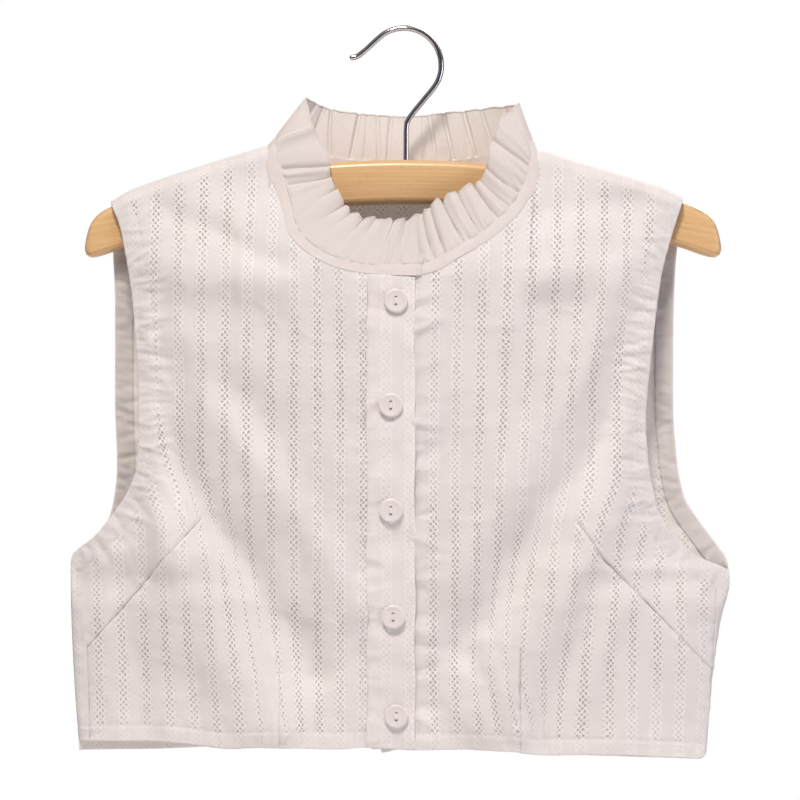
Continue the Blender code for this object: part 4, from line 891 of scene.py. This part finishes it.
def cut_along(bm, panel):
    """Cuts a flat panel along its darts, on each line and beside it, so that the grooves come out sharp."""
    for x1, z1, x2, z2, *_ in own_darts(panel):
        start, end = Vector((x1, 0, z1)) * MM, Vector((x2, 0, z2)) * MM
        run = (end - start).normalized()
        across = Vector((run.z, 0, -run.x))
        reach = (end - start).length + 0.003
        for aside in SEWN_CUTS:
            near = set()
            for face in bm.faces:
                middle = face.calc_center_median() - start
                if -0.003 < middle.dot(run) < reach and abs(middle.dot(across)) < 0.0045:
                    near.update((face, *face.edges, *face.verts))
            point = start + across * aside * MM
            bmesh.ops.bisect_plane(bm, geom=list(near), dist=1e-5, plane_co=point, plane_no=across)


def dart_slit(panel, x, z, near, far):
    """1 on a panel's darts, as far as near, and 0 beyond far, both in millimetres from their lines."""
    slit = np.zeros_like(x)
    for row in own_darts(panel):
        beyond, aside, rise = by_fold(row, x / MM, z / MM)
        deep = np.clip(-rise, 0, 1)
        slit = np.maximum(slit, deep * (1 - step(near, far, abs(aside))) * (1 - step(0, 3, beyond)))
    return slit


def doubled_cloth(panel, x, z):
    """1 where something lies behind a panel's cloth or closes its lace holes, and 0 where they are open."""
    face, sides, _ = PANELS[panel]
    open_cloth = [step(*HEM_LINED, z - hem_height(panel, x))]
    for side in sides:
        open_cloth.append(step(*FACING_LINED, beside(armhole_line(face, side, 0.0), x, z)[0]))
        open_cloth.append(step(*SIDE_LINED, from_side_seam(face, side, x, z)))
    if panel == "front_left":
        open_cloth.append(step(*UNDERLAP_LINED, x))
    # The shoulder seam's allowances and the hanger lie behind the cloth there, so the holes hardly show.
    open_cloth.append(step(*SHOULDER_LINED, shoulder_height(x) - z))
    # A dart takes stripes in, and the holes of those that are nearly gone don't show.
    stripes = stripe_number(panel, x + MM / 2, z) - stripe_number(panel, x - MM / 2, z)
    open_cloth.append(1 - step(*TAKEN_IN, abs(stripes * STRIPE_PITCH / MM)))
    open_cloth.append(1 - 0.9 * dart_slit(panel, x, z, *UNHOLED))
    return 1 - np.min(open_cloth, axis=0)


def make_panel(panel, columns, rows, finish):
    bm, u, v = grid(columns, rows)
    flat = back_flat(u, v) if panel == "back" else front_flat(PANELS[panel][1][0], u, v)
    move_points(bm, [(x, 0, z) for x, z in round_corner(flat)])
    cut_along(bm, panel)
    x, z = np.array([(vert.co.x, vert.co.z) for vert in bm.verts]).T
    # slit marks the darts' sewn slits, where the material paints shade into the cloth's colour.
    number, slit = stripe_number(panel, x, z), dart_slit(panel, x, z, *SLIT_SHADE)
    points, lined = panel_points(panel, x, z), doubled_cloth(panel, x, z)
    cloth_piece(panel, bm, points, number, cloth_length(x, z), WALL, finish, lined, slit)


def make_placket(finish):
    """The lapped strip down the front: two layers, folded at its free edge and sewn at the other."""
    bm, u, v = grid(stretches((0.04, 2), (0.96, 22), (1.0, 3)), stretches((0.01, 3), (0.99, 210), (1.0, 3)))
    x = PLACKET_LEFT - PLACKET_LAP + (PLACKET_RIGHT - PLACKET_LEFT + PLACKET_LAP) * u
    top, foot = follow(PLACKET_TOP, x), follow(PLACKET_FOOT, x)
    z = top + (foot - top) * v
    x = x + 0.0005 * u * unevenness(np.zeros_like(z), z, 0.060, 41)
    lift = -0.0004 * step(0.985, 1.0, u) - PLACKET_SUNK * (1 - step(0.0, 0.05, u))
    number = (x - PLACKET_STRIPE) / STRIPE_PITCH
    cloth_piece("placket", bm, panel_points("placket", x, z, lift), number, -z, PLACKET_WALL, finish, 0.8)


def panel_of(face, side):
    return "back" if face == "back" else f"front_{side}"


def make_facing(face, side, finish):
    """A strip inside the armhole, sewn to its edge and turned in."""
    bm, u, v = grid(stretches((1.0, 9)), stretches((1.0, 190)))
    top = EDGE[face][side][0][0]
    x, z = inset(face, side, top + (FACING_FOOT - top) * v, FACING_WIDTH * (0.03 + 0.97 * u))
    z = np.minimum(z, shoulder_height(x))
    points = panel_points(panel_of(face, side), x, z, -(WALL / 2 + FACING_GAP + FACING_WALL / 2))
    cloth_piece(f"facing_{face}_{side}", bm, points, x / STRIPE_PITCH, -z, FACING_WALL, finish)


def make_neckband(finish):
    bm, share, level = grid(stretches((1.0, 420)), stretches((0.08, 2), (0.92, 7), (1.0, 2)))
    row, place = row_at(share), share * COLLAR_LENGTH
    start = -follow(BAND_TUCK, row)
    height = start + (BAND_HEIGHT - start) * level
    lap = step(0.990, 1.0, share)
    crown = 0.00035 * (1 - 0.9 * pulled_flat(row)) * np.sin(math.pi * level) + 0.0008 * lap
    crown += 0.00014 * unevenness(place, height, 0.011, 61)
    points = collar_points(share, height, crown, BAND_LAP * lap)
    cloth_piece("neckband", bm, points, place / STRIPE_PITCH, height, BAND_WALL, finish)


def ruffle_points(share, level, lift=0.0):
    """Points of the ruffle's cloth: level is 0 where it is gathered into the band and 1 at its free edge."""
    row, place = row_at(share), share * COLLAR_LENGTH
    folds = []  # the middle, half width and height of each
    for foot_row, edge_row, foot_half, edge_half, foot_rise, edge_rise, late in RUFFLE_FOLDS:
        foot, edge = share_at(foot_row) * COLLAR_LENGTH, share_at(edge_row) * COLLAR_LENGTH
        half = (foot_half + (edge_half - foot_half) * level) * MM
        rise = (foot_rise + (edge_rise - foot_rise) * level**late) * MM
        folds.append((foot + (edge - foot) * level, half, rise))
    chance = np.random.default_rng(71)
    gathered = follow(GATHER_RISE, row)
    at = 0.0
    while at < COLLAR_LENGTH:
        at += GATHER_PITCH * chance.uniform(0.6, 1.5)
        lean, reach = chance.uniform(-0.0030, 0.0030), chance.uniform(0.16, 0.52)
        rise = gathered * chance.choice([1.0, 0.7, -0.8]) * chance.uniform(0.6, 1.3)
        half = GATHER_PITCH * chance.uniform(0.24, 0.40) * (1 + 1.2 * level)
        folds.append((at + lean * level, half, rise * np.exp(-((level / reach) ** 2))))
    out, slope = np.zeros_like(share), np.zeros_like(share)
    for middle, half, rise in folds:
        hump = rise * np.exp(-(((place - middle) / half) ** 2))
        out += hump
        slope -= 2 * (place - middle) / half**2 * hump
    out += 0.0010 * level * unevenness(place, 0.3 * place, 0.030, 73)
    full = np.linalg.norm(collar_edge(share) - collar_foot(share), axis=-1)
    foot = BAND_HEIGHT - 0.0010
    dip = np.where(row % 23 < 6.9, 1, step(16.4, 17.4, row))  # in front, the edge dips at each pinch
    pinch = 330 * np.clip(out, -0.0032, 0.0012) * dip - 140 * abs(out) * (1 - dip)
    stand = full - EDGE_ROLL + follow(SCALLOP, row) * (0.7 * unevenness(place, 0 * place, 0.013, 75) + pinch)
    lap = step(0.975, 1.0, share)  # the right end laps over the left one
    sewn = step(0.0, 0.07, level)
    flush = FOOT_FLUSH * pulled_flat(row) * (1 - step(0.1, 0.4, level))
    aside = -0.00045 * np.tanh(slope) * step(0.1, 0.6, level) + RUFFLE_LAP * lap
    out = (out + RUFFLE_LAP_OUT * lap) * sewn + flush + lift
    return collar_points(share, foot + (stand - foot) * level, out, aside)


def make_ruffle(finish):
    bm, share, level = grid(stretches((1.0, 960)), stretches((0.12, 6), (1.0, 24)))
    points = ruffle_points(share, level)
    number = share * COLLAR_LENGTH * 2 / STRIPE_PITCH  # gathered cloth, so there is more of it
    cloth_piece("ruffle", bm, points, number, RUFFLE_HEIGHT * level, RUFFLE_WALL, finish)


def make_ruffle_hem(finish):
    """The narrow rolled hem along the ruffle's free edge."""
    bm, share, turn = grid(stretches((1.0, 1100)), stretches((1.0, 8)))
    ones = np.ones_like(share)
    centre = ruffle_points(share, ones)
    outward = (ruffle_points(share, ones, PROBE) - centre) / PROBE
    upward = unit(centre - ruffle_points(share, 0.96 * ones))
    angle = 2 * math.pi * turn[:, None]
    thick = EDGE_ROLL * np.minimum(1, np.minimum(share, 1 - share) / 0.0015)[:, None]
    move_points(bm, centre + thick * (outward * np.cos(angle) + upward * np.sin(angle)))
    bmesh.ops.remove_doubles(bm, verts=bm.verts, dist=SAME_POINT)
    piece("ruffle_hem", bm, finish)


def make_ruffle_join(finish):
    """The zigzag row that joins the ruffle's strip, from its foot to its edge beside the right shoulder."""
    level = np.linspace(0.10, 0.97, 30)
    share = share_at(15.36 + 0.62 * level + 0.035 * (np.arange(30) % 2 * 2 - 1))
    on, above = (ruffle_points(share, level, RUFFLE_WALL / 2 + up) for up in (0, PROBE))
    make_stitches("ruffle_join", on, above - on, JOIN_LONG, JOIN_WIDE, finish)


def make_stitches(name, points, outward, long, wide, finish):
    """A row of stitches along points: each a small rounded stitch of thread that lies on the cloth."""
    bm = bmesh.new()
    for start, end, out in zip(points[:-1], points[1:], outward[:-1]):
        run, out = Vector(end - start).normalized(), Vector(out)
        out = (out - run * out.dot(run)).normalized()
        turned = Matrix((run * long / 2, out.cross(run) * wide / 2, out * wide / 2)).transposed().to_4x4()
        turned.translation = (start + end) / 2
        bmesh.ops.create_icosphere(bm, subdivisions=1, radius=1.0, matrix=turned)
    piece(name, bm, finish)


def seam_stitches(name, panel, line, finish):
    """A row of machine stitches on a panel or the placket, along a line of X and Z."""
    way = distances(line)
    x, z = (np.interp(np.arange(0, way[-1], STITCH_PITCH), way, column) for column in line.T)
    top = (PLACKET_WALL if panel == "placket" else WALL) / 2
    on, above = (panel_points(panel, x, z, top + up) for up in (0, PROBE))
    make_stitches(name, on, above - on, STITCH_LONG, STITCH_WIDE, finish)


def make_button(number, x, z, finish, thread):
    """A turned disc with two thread holes, and the thread that crosses between them."""
    bm = bmesh.new()
    chain = [bm.verts.new((radius * MM, 0, height * MM)) for radius, height in BUTTON_PROFILE]
    edges = [bm.edges.new(pair) for pair in zip(chain, chain[1:])]
    turned = {"cent": (0, 0, 0), "axis": (0, 0, 1), "angle": 2 * math.pi, "steps": 72}
    bmesh.ops.spin(bm, geom=chain + edges, use_merge=True, **turned)
    bmesh.ops.remove_doubles(bm, verts=bm.verts, dist=SAME_POINT)
    item = piece(f"button_{number}_disc", bm, finish)
    drill = bmesh.new()
    reach = BUTTON_HOLE_SPACING / 2
    size = {"radius1": BUTTON_HOLE_RADIUS, "radius2": BUTTON_HOLE_RADIUS, "depth": 2 * BUTTON_THICK}
    for y in (-reach, reach):
        spot = Matrix.Translation((0, y, 0))
        bmesh.ops.create_cone(drill, cap_ends=True, segments=28, matrix=spot, **size)
    cutter = place_in_scene("thread holes", drill)
    cut = item.modifiers.new("thread holes", "BOOLEAN")
    cut.operation, cut.object = "DIFFERENCE", cutter
    drilled = bpy.data.meshes.new_from_object(item.evaluated_get(bpy.context.evaluated_depsgraph_get()))
    item.modifiers.clear()
    item.data = drilled
    bpy.data.objects.remove(cutter)

    spot = np.array([x]), np.array([z])
    middle = PLACKET_WALL / 2 + BUTTON_GAP + BUTTON_THICK / 2
    on, above = (panel_points("placket", *spot, middle + up)[0] for up in (0, PROBE))
    seat = Vector(above - on).to_track_quat("Z", "Y").to_matrix().to_4x4()
    seat.translation = on
    drilled.transform(seat)
    drilled.shade_smooth()
    drilled.set_sharp_from_angle(angle=math.radians(40))
    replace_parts(item, f"button_{number}")

    strands, along, turn = grid(stretches((1.0, 26)), stretches((1.0, 8)))
    angle, way = 2 * math.pi * turn, 2 * along - 1
    y = reach * 1.05 * np.sign(way) * abs(way) ** 0.8
    height = (0.75 + 0.55 * (1 - abs(way) ** 3.5)) * MM - 0.0015 * step(0.86, 1.0, abs(way))
    points = np.stack([STRAND_RADIUS * np.cos(angle), y, height + STRAND_RADIUS * np.sin(angle)], axis=-1)
    move_points(strands, points)
    first = list(strands.verts) + list(strands.faces)
    for aside in (-0.00048, 0.00046):  # two more strands, laid against the first
        copied = bmesh.ops.duplicate(strands, geom=first)
        moved = [part for part in copied["geom"] if isinstance(part, bmesh.types.BMVert)]
        bmesh.ops.translate(strands, verts=moved, vec=(aside, 0, -0.00010))
    bmesh.ops.remove_doubles(strands, verts=strands.verts, dist=SAME_POINT)
    bmesh.ops.transform(strands, matrix=seat, verts=strands.verts)
    piece(f"button_{number}_thread", strands, thread)


def arch(middle, bend, end_rows):
    """X and Z rows of one edge of the bar, from its middle out to its end."""
    return [(s, middle - bend * s * s) for s in np.linspace(0, end_rows[0][0], 12)[:-1]] + list(end_rows)


def make_bar(finish):
    """The arched wooden bar: a rounded section carried along it, drawn in to nothing at both ends."""
    sides = 40
    ways = 0.5 - 0.5 * np.cos(np.linspace(0, math.pi, 161))
    bm, along, turn = grid(ways.tolist(), stretches((1.0, sides)))
    reach = max(row[0] for row in BAR_END)
    x = reach * (2 * along - 1)
    tip = [row[0] for row in BAR_END].index(reach)
    top = follow(arch(BAR_TOP, BAR_TOP_BEND, BAR_END[: tip + 1]), abs(x))
    foot = follow(arch(BAR_FOOT, BAR_FOOT_BEND, BAR_END[tip:][::-1]), abs(x))
    to_end = np.clip((reach - abs(x)) / BAR_ROUND, 0, 1)
    half_thick = BAR_THICK / 2 - BAR_ROUND * (1 - np.sqrt(1 - (1 - to_end) ** 2)) * 0.85
    half_high = np.maximum((top - foot) / 2, 1e-5)
    corner = np.minimum(np.minimum(BAR_ROUND, half_high), half_thick) * 0.98
    angle = 2 * math.pi * (np.round(turn * sides) + 0.5) / sides
    y = np.sign(np.cos(angle)) * (half_thick - corner) + corner * np.cos(angle)
    z = (top + foot) / 2 + np.sign(np.sin(angle)) * (half_high - corner) + corner * np.sin(angle)
    move_points(bm, np.stack([BAR_CENTRE_X + x, y, z], axis=-1))
    bmesh.ops.remove_doubles(bm, verts=bm.verts, dist=SAME_POINT)
    bmesh.ops.holes_fill(bm, edges=[edge for edge in bm.edges if edge.is_boundary], sides=0)
    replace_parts(piece("bar", bm, finish), "hanger_bar")


def make_hook(finish):
    """A bent wire with round ends: tip, arc over the rail, slant and stem."""
    turns = np.radians(np.linspace(*HOOK_ARC, 15))
    centre_z = WIRE_RADIUS - HOOK_RADIUS
    arc = [(HOOK_RADIUS * math.cos(a), centre_z + HOOK_RADIUS * math.sin(a)) for a in turns]
    route = [*HOOK_TIP, *arc, *HOOK_STEM]
    bm, along, turn = grid(stretches((0.02, 16), (0.98, 300), (1.0, 8)), stretches((1.0, 20)))
    spot = travel(route, along)
    run = unit(heading(lambda share: travel(route, share), along, 0.002))
    to_end = np.clip(np.minimum(along, 1 - along) * distances(route)[-1] / WIRE_RADIUS, 0, 1)
    radius = WIRE_RADIUS * np.sqrt(1 - (1 - to_end) ** 2)
    wide, y = radius * np.cos(2 * math.pi * turn), radius * np.sin(2 * math.pi * turn)
    move_points(bm, np.stack([spot[:, 0] - run[:, 1] * wide, y, spot[:, 1] + run[:, 0] * wide], axis=-1))
    bmesh.ops.remove_doubles(bm, verts=bm.verts, dist=SAME_POINT / 10)
    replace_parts(piece("hook_wire", bm, finish), "hanger_hook")


# ---------------------------------------------------------------- materials
def linear(code):
    """Linear colour of an sRGB hex code."""
    parts = [int(code[i : i + 2], 16) / 255 for i in (1, 3, 5)]
    return (*(c / 12.92 if c <= 0.04045 else ((c + 0.055) / 1.055) ** 2.4 for c in parts), 1.0)


def fill(tree, node, inputs):
    """Links or fills a node's inputs."""
    for key, value in inputs.items():
        if isinstance(value, bpy.types.NodeSocket):
            tree.links.new(value, node.inputs[key])
        else:
            node.inputs[key].default_value = value


def add(tree, kind, inputs=None, **settings):
    """Adds a node with its settings, and links or fills its inputs."""
    node = tree.nodes.new(f"ShaderNode{kind}")
    for name, value in settings.items():
        setattr(node, name, value)
    fill(tree, node, inputs or {})
    return node


def maths(tree, operation, *values):
    return add(tree, "Math", dict(enumerate(values)), operation=operation).outputs[0]


def vector(tree, operation, *values):
    node = add(tree, "VectorMath", dict(enumerate(values)), operation=operation)
    return node.outputs["Value" if operation in ("DOT_PRODUCT", "LENGTH") else "Vector"]


def ramp(tree, value, low, high, at_low, at_high, kind="LINEAR"):
    """Turns a value between low and high into one between at_low and at_high, and holds it beyond them."""
    ends = {"Value": value, "From Min": low, "From Max": high, "To Min": at_low, "To Max": at_high}
    return add(tree, "MapRange", ends, interpolation_type=kind).outputs[0]


def blend(tree, share, first, second):
    """One colour laid over another. A colour is a socket or a hex code."""
    first, second = (linear(colour) if isinstance(colour, str) else colour for colour in (first, second))
    return add(tree, "Mix", {"Factor": share, "A": first, "B": second}, data_type="RGBA").outputs["Result"]


def noise(tree, place, scale, detail, **more):
    return add(tree, "TexNoise", {"Vector": place, "Scale": scale, "Detail": detail, **more}).outputs[0]


def new_material(name):
    """A material, its tree and shader, and the object's own coordinates."""
    made = bpy.data.materials.new(name)
    made.use_nodes = True
    tree = made.node_tree
    return made, tree, tree.nodes["Principled BSDF"], add(tree, "TexCoord").outputs["Object"]


def per_millimetre(across, along):
    """Scales the weave so that 1 is a size in millimetres across the cloth and one along it."""
    return (STRIPE_PITCH / MM / across, 1 / (along * MM), 0)


def lace(tree, weave):
    """Leno openwork: every second hole of a grid is left out, so that the holes stand on a lattice. Gives
    how far each place is in a stripe, and how far in a hole."""
    split = add(tree, "SeparateXYZ", {0: weave})
    columns = STRIPE_PITCH / MM / LACE_COLUMN
    inside = maths(tree, "FRACT", maths(tree, "ADD", split.outputs[0], 0.5))
    column = maths(tree, "MULTIPLY_ADD", inside, columns, -0.5 * columns)
    row = maths(tree, "MULTIPLY", split.outputs[1], 1 / (LACE_ROW * MM))
    even = add(tree, "CombineXYZ", {0: column, 1: row}).outputs[0]
    # Washing has pulled the threads up to 0.4 mm off their places.
    pulled = vector(tree, "MULTIPLY", weave, per_millimetre(PULL_SIZE, PULL_SIZE))
    pull = add(tree, "TexNoise", {"Vector": pulled, "Scale": 1.0, "Detail": 1.0}).outputs["Color"]
    spot = vector(tree, "ADD", even, vector(tree, "MULTIPLY_ADD", pull, (1.1, 1.1, 0), (-0.55, -0.55, 0)))
    first, second = (vector(tree, "DOT_PRODUCT", spot, (0.5, way, 0)) for way in (0.5, -0.5))
    lattice = add(tree, "CombineXYZ", {0: first, 1: second}).outputs[0]
    nearest = vector(tree, "FLOOR", vector(tree, "ADD", lattice, (0.5, 0.5, 0)))
    off = vector(tree, "SUBTRACT", lattice, nearest)
    # A hole is a diamond between crossing threads, a little rounded by them.
    parts = add(tree, "SeparateXYZ", {0: vector(tree, "ABSOLUTE", off)})
    straight = maths(tree, "MAXIMUM", parts.outputs[0], parts.outputs[1])
    radius = maths(tree, "ADD", straight, vector(tree, "LENGTH", off))
    # Full holes in the three middle columns, smaller ones in the next column on either side.
    from_middle = maths(tree, "ABSOLUTE", vector(tree, "DOT_PRODUCT", nearest, (1, 1, 0)))
    strength = ramp(tree, from_middle, 1.2, 2.5, 1.0, 0.0)
    hole = maths(tree, "MULTIPLY", ramp(tree, radius, 0.40, 0.88, 1.0, 0.0, "SMOOTHSTEP"), strength)
    return ramp(tree, maths(tree, "ABSOLUTE", column), 1.8, 2.6, 1.0, 0.0, "SMOOTHSTEP"), hole


def cotton(name, laced, shades):
    """Cotton voile: woven, washed and pressed, so matte with a faint sheen and fine uneven threads. Its lace
    stripes have brighter bundles of thread round their holes."""
    made, tree, shader, place = new_material(name)
    weave = add(tree, "UVMap", uv_map="weave").outputs[0]
    layers = add(tree, "SeparateXYZ", {0: add(tree, "UVMap", uv_map="doubled").outputs[0]})
    lined = layers.outputs[0]
    warp, weft = (
        noise(tree, vector(tree, "MULTIPLY", weave, per_millimetre(across, along)), 1.0, 2.0)
        for across, along in ((SLUB_WIDE, SLUB_LONG), (SLUB_LONG, SLUB_WIDE))
    )
    threads = maths(tree, "ADD", warp, weft)
    patches = noise(tree, place, 14.0, 3.0)
    colour = blend(tree, patches, *shades)
    colour = blend(tree, ramp(tree, threads, 0.7, 1.3, 0.0, 0.16), colour, "#FFFFFF")
    relief = maths(tree, "MULTIPLY", threads, 0.25)
    if laced:
        in_stripe, hole = lace(tree, weave)
        # Washed threads have slipped over some of the holes.
        hole = maths(tree, "MULTIPLY", hole, ramp(tree, patches, 0.36, 0.54, 0.50, 1.0))
        bright = maths(tree, "MULTIPLY", in_stripe, ramp(tree, lined, 0.0, 1.0, 0.80, 0.36))
        colour = blend(tree, bright, colour, "#FFFDFB")
        # Painted shade: each hole is darkened for the shaded inside seen through it, beyond what Alpha
        # really lets through, and less where cloth lies behind it.
        dark = maths(tree, "MULTIPLY", hole, ramp(tree, lined, 0.0, 1.0, 0.64, 0.20))
        colour = blend(tree, dark, colour, "#B3A29B")
        clear = maths(tree, "MULTIPLY", hole, ramp(tree, lined, 0.0, 0.6, 0.22, 0.0))
        fill(tree, shader, {"Alpha": maths(tree, "SUBTRACT", 1.0, clear)})
        sunk = maths(tree, "MULTIPLY_ADD", hole, -0.8, relief)
        relief = maths(tree, "MULTIPLY_ADD", in_stripe, 0.25, sunk)
    # Painted shade: the slit where two edges are sewn against each other is darkened, as no light gets into
    # it.
    colour = blend(tree, maths(tree, "MULTIPLY", layers.outputs[1], 0.6), colour, "#857A78")
    bump = add(tree, "Bump", {"Height": relief, "Strength": 0.55, "Distance": 0.0003})
    surface_inputs = {
        "Normal": bump.outputs[0],
        "Base Color": colour,
        "Roughness": 0.82,
        "Specular IOR Level": 0.30,
        # Voile lets light through: it scatters on for a few millimetres, further than the wall is thick.
        "Subsurface Weight": 0.36,
        "Subsurface Radius": (1.0, 0.9, 0.85),
        "Subsurface Scale": 0.0025,
        "Sheen Weight": 0.15,
        "Sheen Roughness": 0.50,
    }
    fill(tree, shader, surface_inputs)
    return made


def clouded(name, scale, detail, shades, **inputs):
    """A plain material whose colour drifts a little between two shades."""
    made, tree, shader, place = new_material(name)
    fill(tree, shader, {"Base Color": blend(tree, noise(tree, place, scale, detail), *shades), **inputs})
    return made


def sewing_thread():
    """Spun polyester thread: smooth and a little brighter than the cloth, so stitches catch the light."""
    return clouded("spun polyester sewing thread", 900.0, 1.0, ("#EDE6E3", "#FBF7F5"), Roughness=0.55)


def button_polyester():
    """Cast polyester, turned and tumbled: milky, with a soft gloss."""
    gloss = {"Roughness": 0.28, "IOR": 1.52, "Coat Weight": 0.25, "Coat Roughness": 0.12}
    return clouded("turned milky polyester", 160.0, 2.0, ("#E6E0DF", "#F1ECEA"), **gloss)


def lacquered_wood():
    """Pale lotus wood, planed and sprayed with clear lacquer: fine straight grain under an even gloss."""
    made, tree, shader, place = new_material("lotus wood under clear lacquer")
    x, y, z = add(tree, "SeparateXYZ", {0: place}).outputs
    bend = maths(tree, "MULTIPLY", x, x)
    # The blank is sawn straight, so the arch cuts a little across the grain: most of the bend is kept.
    laid = add(tree, "CombineXYZ", {0: x, 1: y, 2: maths(tree, "MULTIPLY_ADD", bend, 0.55, z)}).outputs[0]
    # Grain lines about 1.3 mm apart and 70 mm long, and pores 0.35 mm wide and 6 mm long.
    lines = vector(tree, "MULTIPLY", laid, (14.0, 120.0, 760.0))
    grain = noise(tree, lines, 1.0, 3.0, Roughness=0.55, Distortion=0.25)
    pores = noise(tree, vector(tree, "MULTIPLY", laid, (160.0, 800.0, 2600.0)), 1.0, 1.0)
    figure = noise(tree, vector(tree, "MULTIPLY", laid, (9.0, 40.0, 170.0)), 1.0, 2.0)
    shade = add(tree, "ValToRGB", {0: grain})
    for stop, position, code in zip(shade.color_ramp.elements, (0.33, 0.66), ("#D6AB77", "#EECD9C")):
        stop.position, stop.color = position, linear(code)
    colour = blend(tree, figure, shade.outputs[0], "#E5BC86")
    colour = blend(tree, ramp(tree, pores, 0.62, 0.74, 0.0, 0.35), colour, "#B98450")
    # Painted shade: a thin darker line where the rounded lower edge turns under, away from the light from
    # above.
    from_foot = maths(tree, "MULTIPLY_ADD", bend, BAR_FOOT_BEND, z)
    off_shade_line = maths(tree, "ABSOLUTE", maths(tree, "SUBTRACT", from_foot, BAR_FOOT + UNDER_EDGE_SHADE_LINE))
    colour = blend(tree, ramp(tree, off_shade_line, 0.0, 0.0006, 0.55, 0.0), colour, "#B07C46")
    bump = add(tree, "Bump", {"Height": grain, "Strength": 0.10, "Distance": 0.0002}).outputs[0]
    gloss = {"Roughness": 0.46, "Coat Weight": 0.45, "Coat Roughness": 0.16}
    fill(tree, shader, {"Normal": bump, "Base Color": colour, **gloss})
    return made


def chromed_wire():
    """Drawn steel wire, bent and bright chrome plated: mirror-like, with faint lengthwise drawing marks."""
    made, tree, shader, place = new_material("bright chrome plated steel wire")
    rough = ramp(tree, noise(tree, place, 220.0, 2.0), 0.0, 1.0, 0.08, 0.20)
    fill(tree, shader, {"Roughness": rough, "Base Color": linear("#CFCFD1"), "Metallic": 1.0})
    return made


# ---------------------------------------------------------------- the set
def make_floor():
    """A plain pale floor below the hung garment."""
    bm = bmesh.new()
    bmesh.ops.create_circle(bm, cap_ends=True, segments=96, radius=FLOOR_RADIUS)
    bmesh.ops.translate(bm, verts=bm.verts, vec=(0, 0, FLOOR))
    item = place_in_scene("floor", bm)
    paint = clouded("matt white painted floor", 3.0, 2.0, ("#EDEBE8", "#F1EFEC"), Roughness=0.7)
    item.data.materials.append(paint)


def make_lamp(name, spot, aim, size, power, tint):
    lamp = bpy.data.lights.new(name, "AREA")
    lamp.shape, lamp.size = "DISK", size
    lamp.energy, lamp.color = power, linear(tint)[:3]
    item = place_in_scene(name, lamp)
    item.location = spot
    item.rotation_euler = (Vector(aim) - Vector(spot)).to_track_quat("-Z", "Y").to_euler()


def make_light():
    """A soft warm lamp high up in front, a faint cool one low on the right, one behind, and a pale room."""
    make_lamp("key", (-0.36, -2.10, 2.50), (0, 0, -0.25), 0.90, 101.0, "#FFF4EB")
    make_lamp("fill", (2.2, -1.5, -0.2), (0, 0, -0.25), 1.20, 12.0, "#F1EEFF")
    make_lamp("back", (0.6, 1.8, 0.9), (0, 0, -0.20), 1.00, 30.0, "#FFF4EA")
    world = bpy.data.worlds.new("pale room")
    bpy.context.scene.world = world
    world.use_nodes = True
    tree = world.node_tree
    tree.nodes.clear()
    split = add(tree, "SeparateXYZ", {0: add(tree, "TexCoord").outputs["Generated"]})
    walls = blend(tree, ramp(tree, split.outputs[2], -0.5, 0.8, 0.0, 1.0), "#C9C2CC", "#F2F1FF")
    colour = blend(tree, ramp(tree, split.outputs[1], -0.55, -0.95, 0.0, 0.75), walls, "#4A4648")
    room = add(tree, "Background", {"Color": colour, "Strength": 0.27})
    paper = add(tree, "Background", {"Color": (1.0, 1.0, 1.0, 1.0), "Strength": 1.0})
    seen = add(tree, "LightPath").outputs["Is Camera Ray"]
    either = add(tree, "MixShader", {0: seen, 1: room.outputs[0], 2: paper.outputs[0]})
    add(tree, "OutputWorld", {0: either.outputs[0]})


def make_camera():
    """Square on to the front, with half a metre in view from side to side."""
    lens = bpy.data.cameras.new("camera")
    lens.lens, lens.sensor_width, lens.clip_end = LENS, SENSOR, 30.0
    item = place_in_scene("camera", lens)
    item.location = (VIEW_CENTRE[0], -VIEW_WIDTH * LENS / SENSOR, VIEW_CENTRE[1])
    item.rotation_euler = (math.radians(90), 0, 0)
    bpy.context.scene.camera = item


def declare_sheets():
    for name, (width, length, area, held, carriers, sewn) in SHEETS.items():
        sewn = sewn + [f"hem_stitches_{name}"] if name in PANELS else sewn


def main():
    make_camera()
    striped = cotton("cotton voile with openwork stripes", True, ("#EBE6E5", "#F3EEEA")), "striped_cotton"
    # Painted shade: the plain voile gets darker shades than the striped voile, for the greyer look of thin
    # single cloth with shade showing through it.
    plain = cotton("plain cotton voile", False, ("#DBD4D0", "#E4DDD8")), "plain_cotton"
    thread = sewing_thread(), "plain_cotton"
    armholes = [(face, side) for face in ("front", "back") for side in ("right", "left")]
    down = stretches((0.03, 11), (0.66, 215), (0.97, 80), (1.0, 12))
    make_panel("front_right", stretches((0.50, 62), (0.93, 50), (1.0, 14)), down, striped)
    make_panel("front_left", stretches((0.12, 18), (0.50, 54), (0.93, 50), (1.0, 14)), down, striped)
    across = stretches((0.035, 12), (0.29, 46), (0.71, 72), (0.965, 46), (1.0, 12))
    make_panel("back", across, stretches((0.03, 9), (0.64, 150), (0.97, 72), (1.0, 10)), striped)
    make_placket(striped)
    for face, side in armholes:
        make_facing(face, side, plain)
    make_neckband(plain)
    make_ruffle(plain)
    make_ruffle_hem(plain)
    make_ruffle_join(thread)
    for face, side in armholes:
        line = armhole_line(face, side, FACING_WIDTH - 0.0006, FACING_FOOT - 0.004)
        seam_stitches(f"armhole_stitches_{face}_{side}", panel_of(face, side), line, thread)
    for panel, rows in HEMS.items():
        start = rows[1][0] if panel == "front_left" else rows[0][0]
        seam_stitches(f"hem_stitches_{panel}", panel, hem_line(panel, start, rows[-1][0], 120)[1:-1], thread)
    seam_stitches("placket_stitches", "placket", upright_line(PLACKET_LEFT + 0.0018, 0.002, 120), thread)
    pearl = button_polyester(), "button"
    for number, (x, z) in enumerate(zip(BUTTON_X, BUTTON_Z), 1):
        make_button(number, x, z, pearl, thread)
    make_bar((lacquered_wood(), "wood"))
    make_hook((chromed_wire(), "wire"))
    declare_sheets()
    make_floor()
    make_light()
    bpy.context.scene.view_settings.view_transform = "Standard"


main()
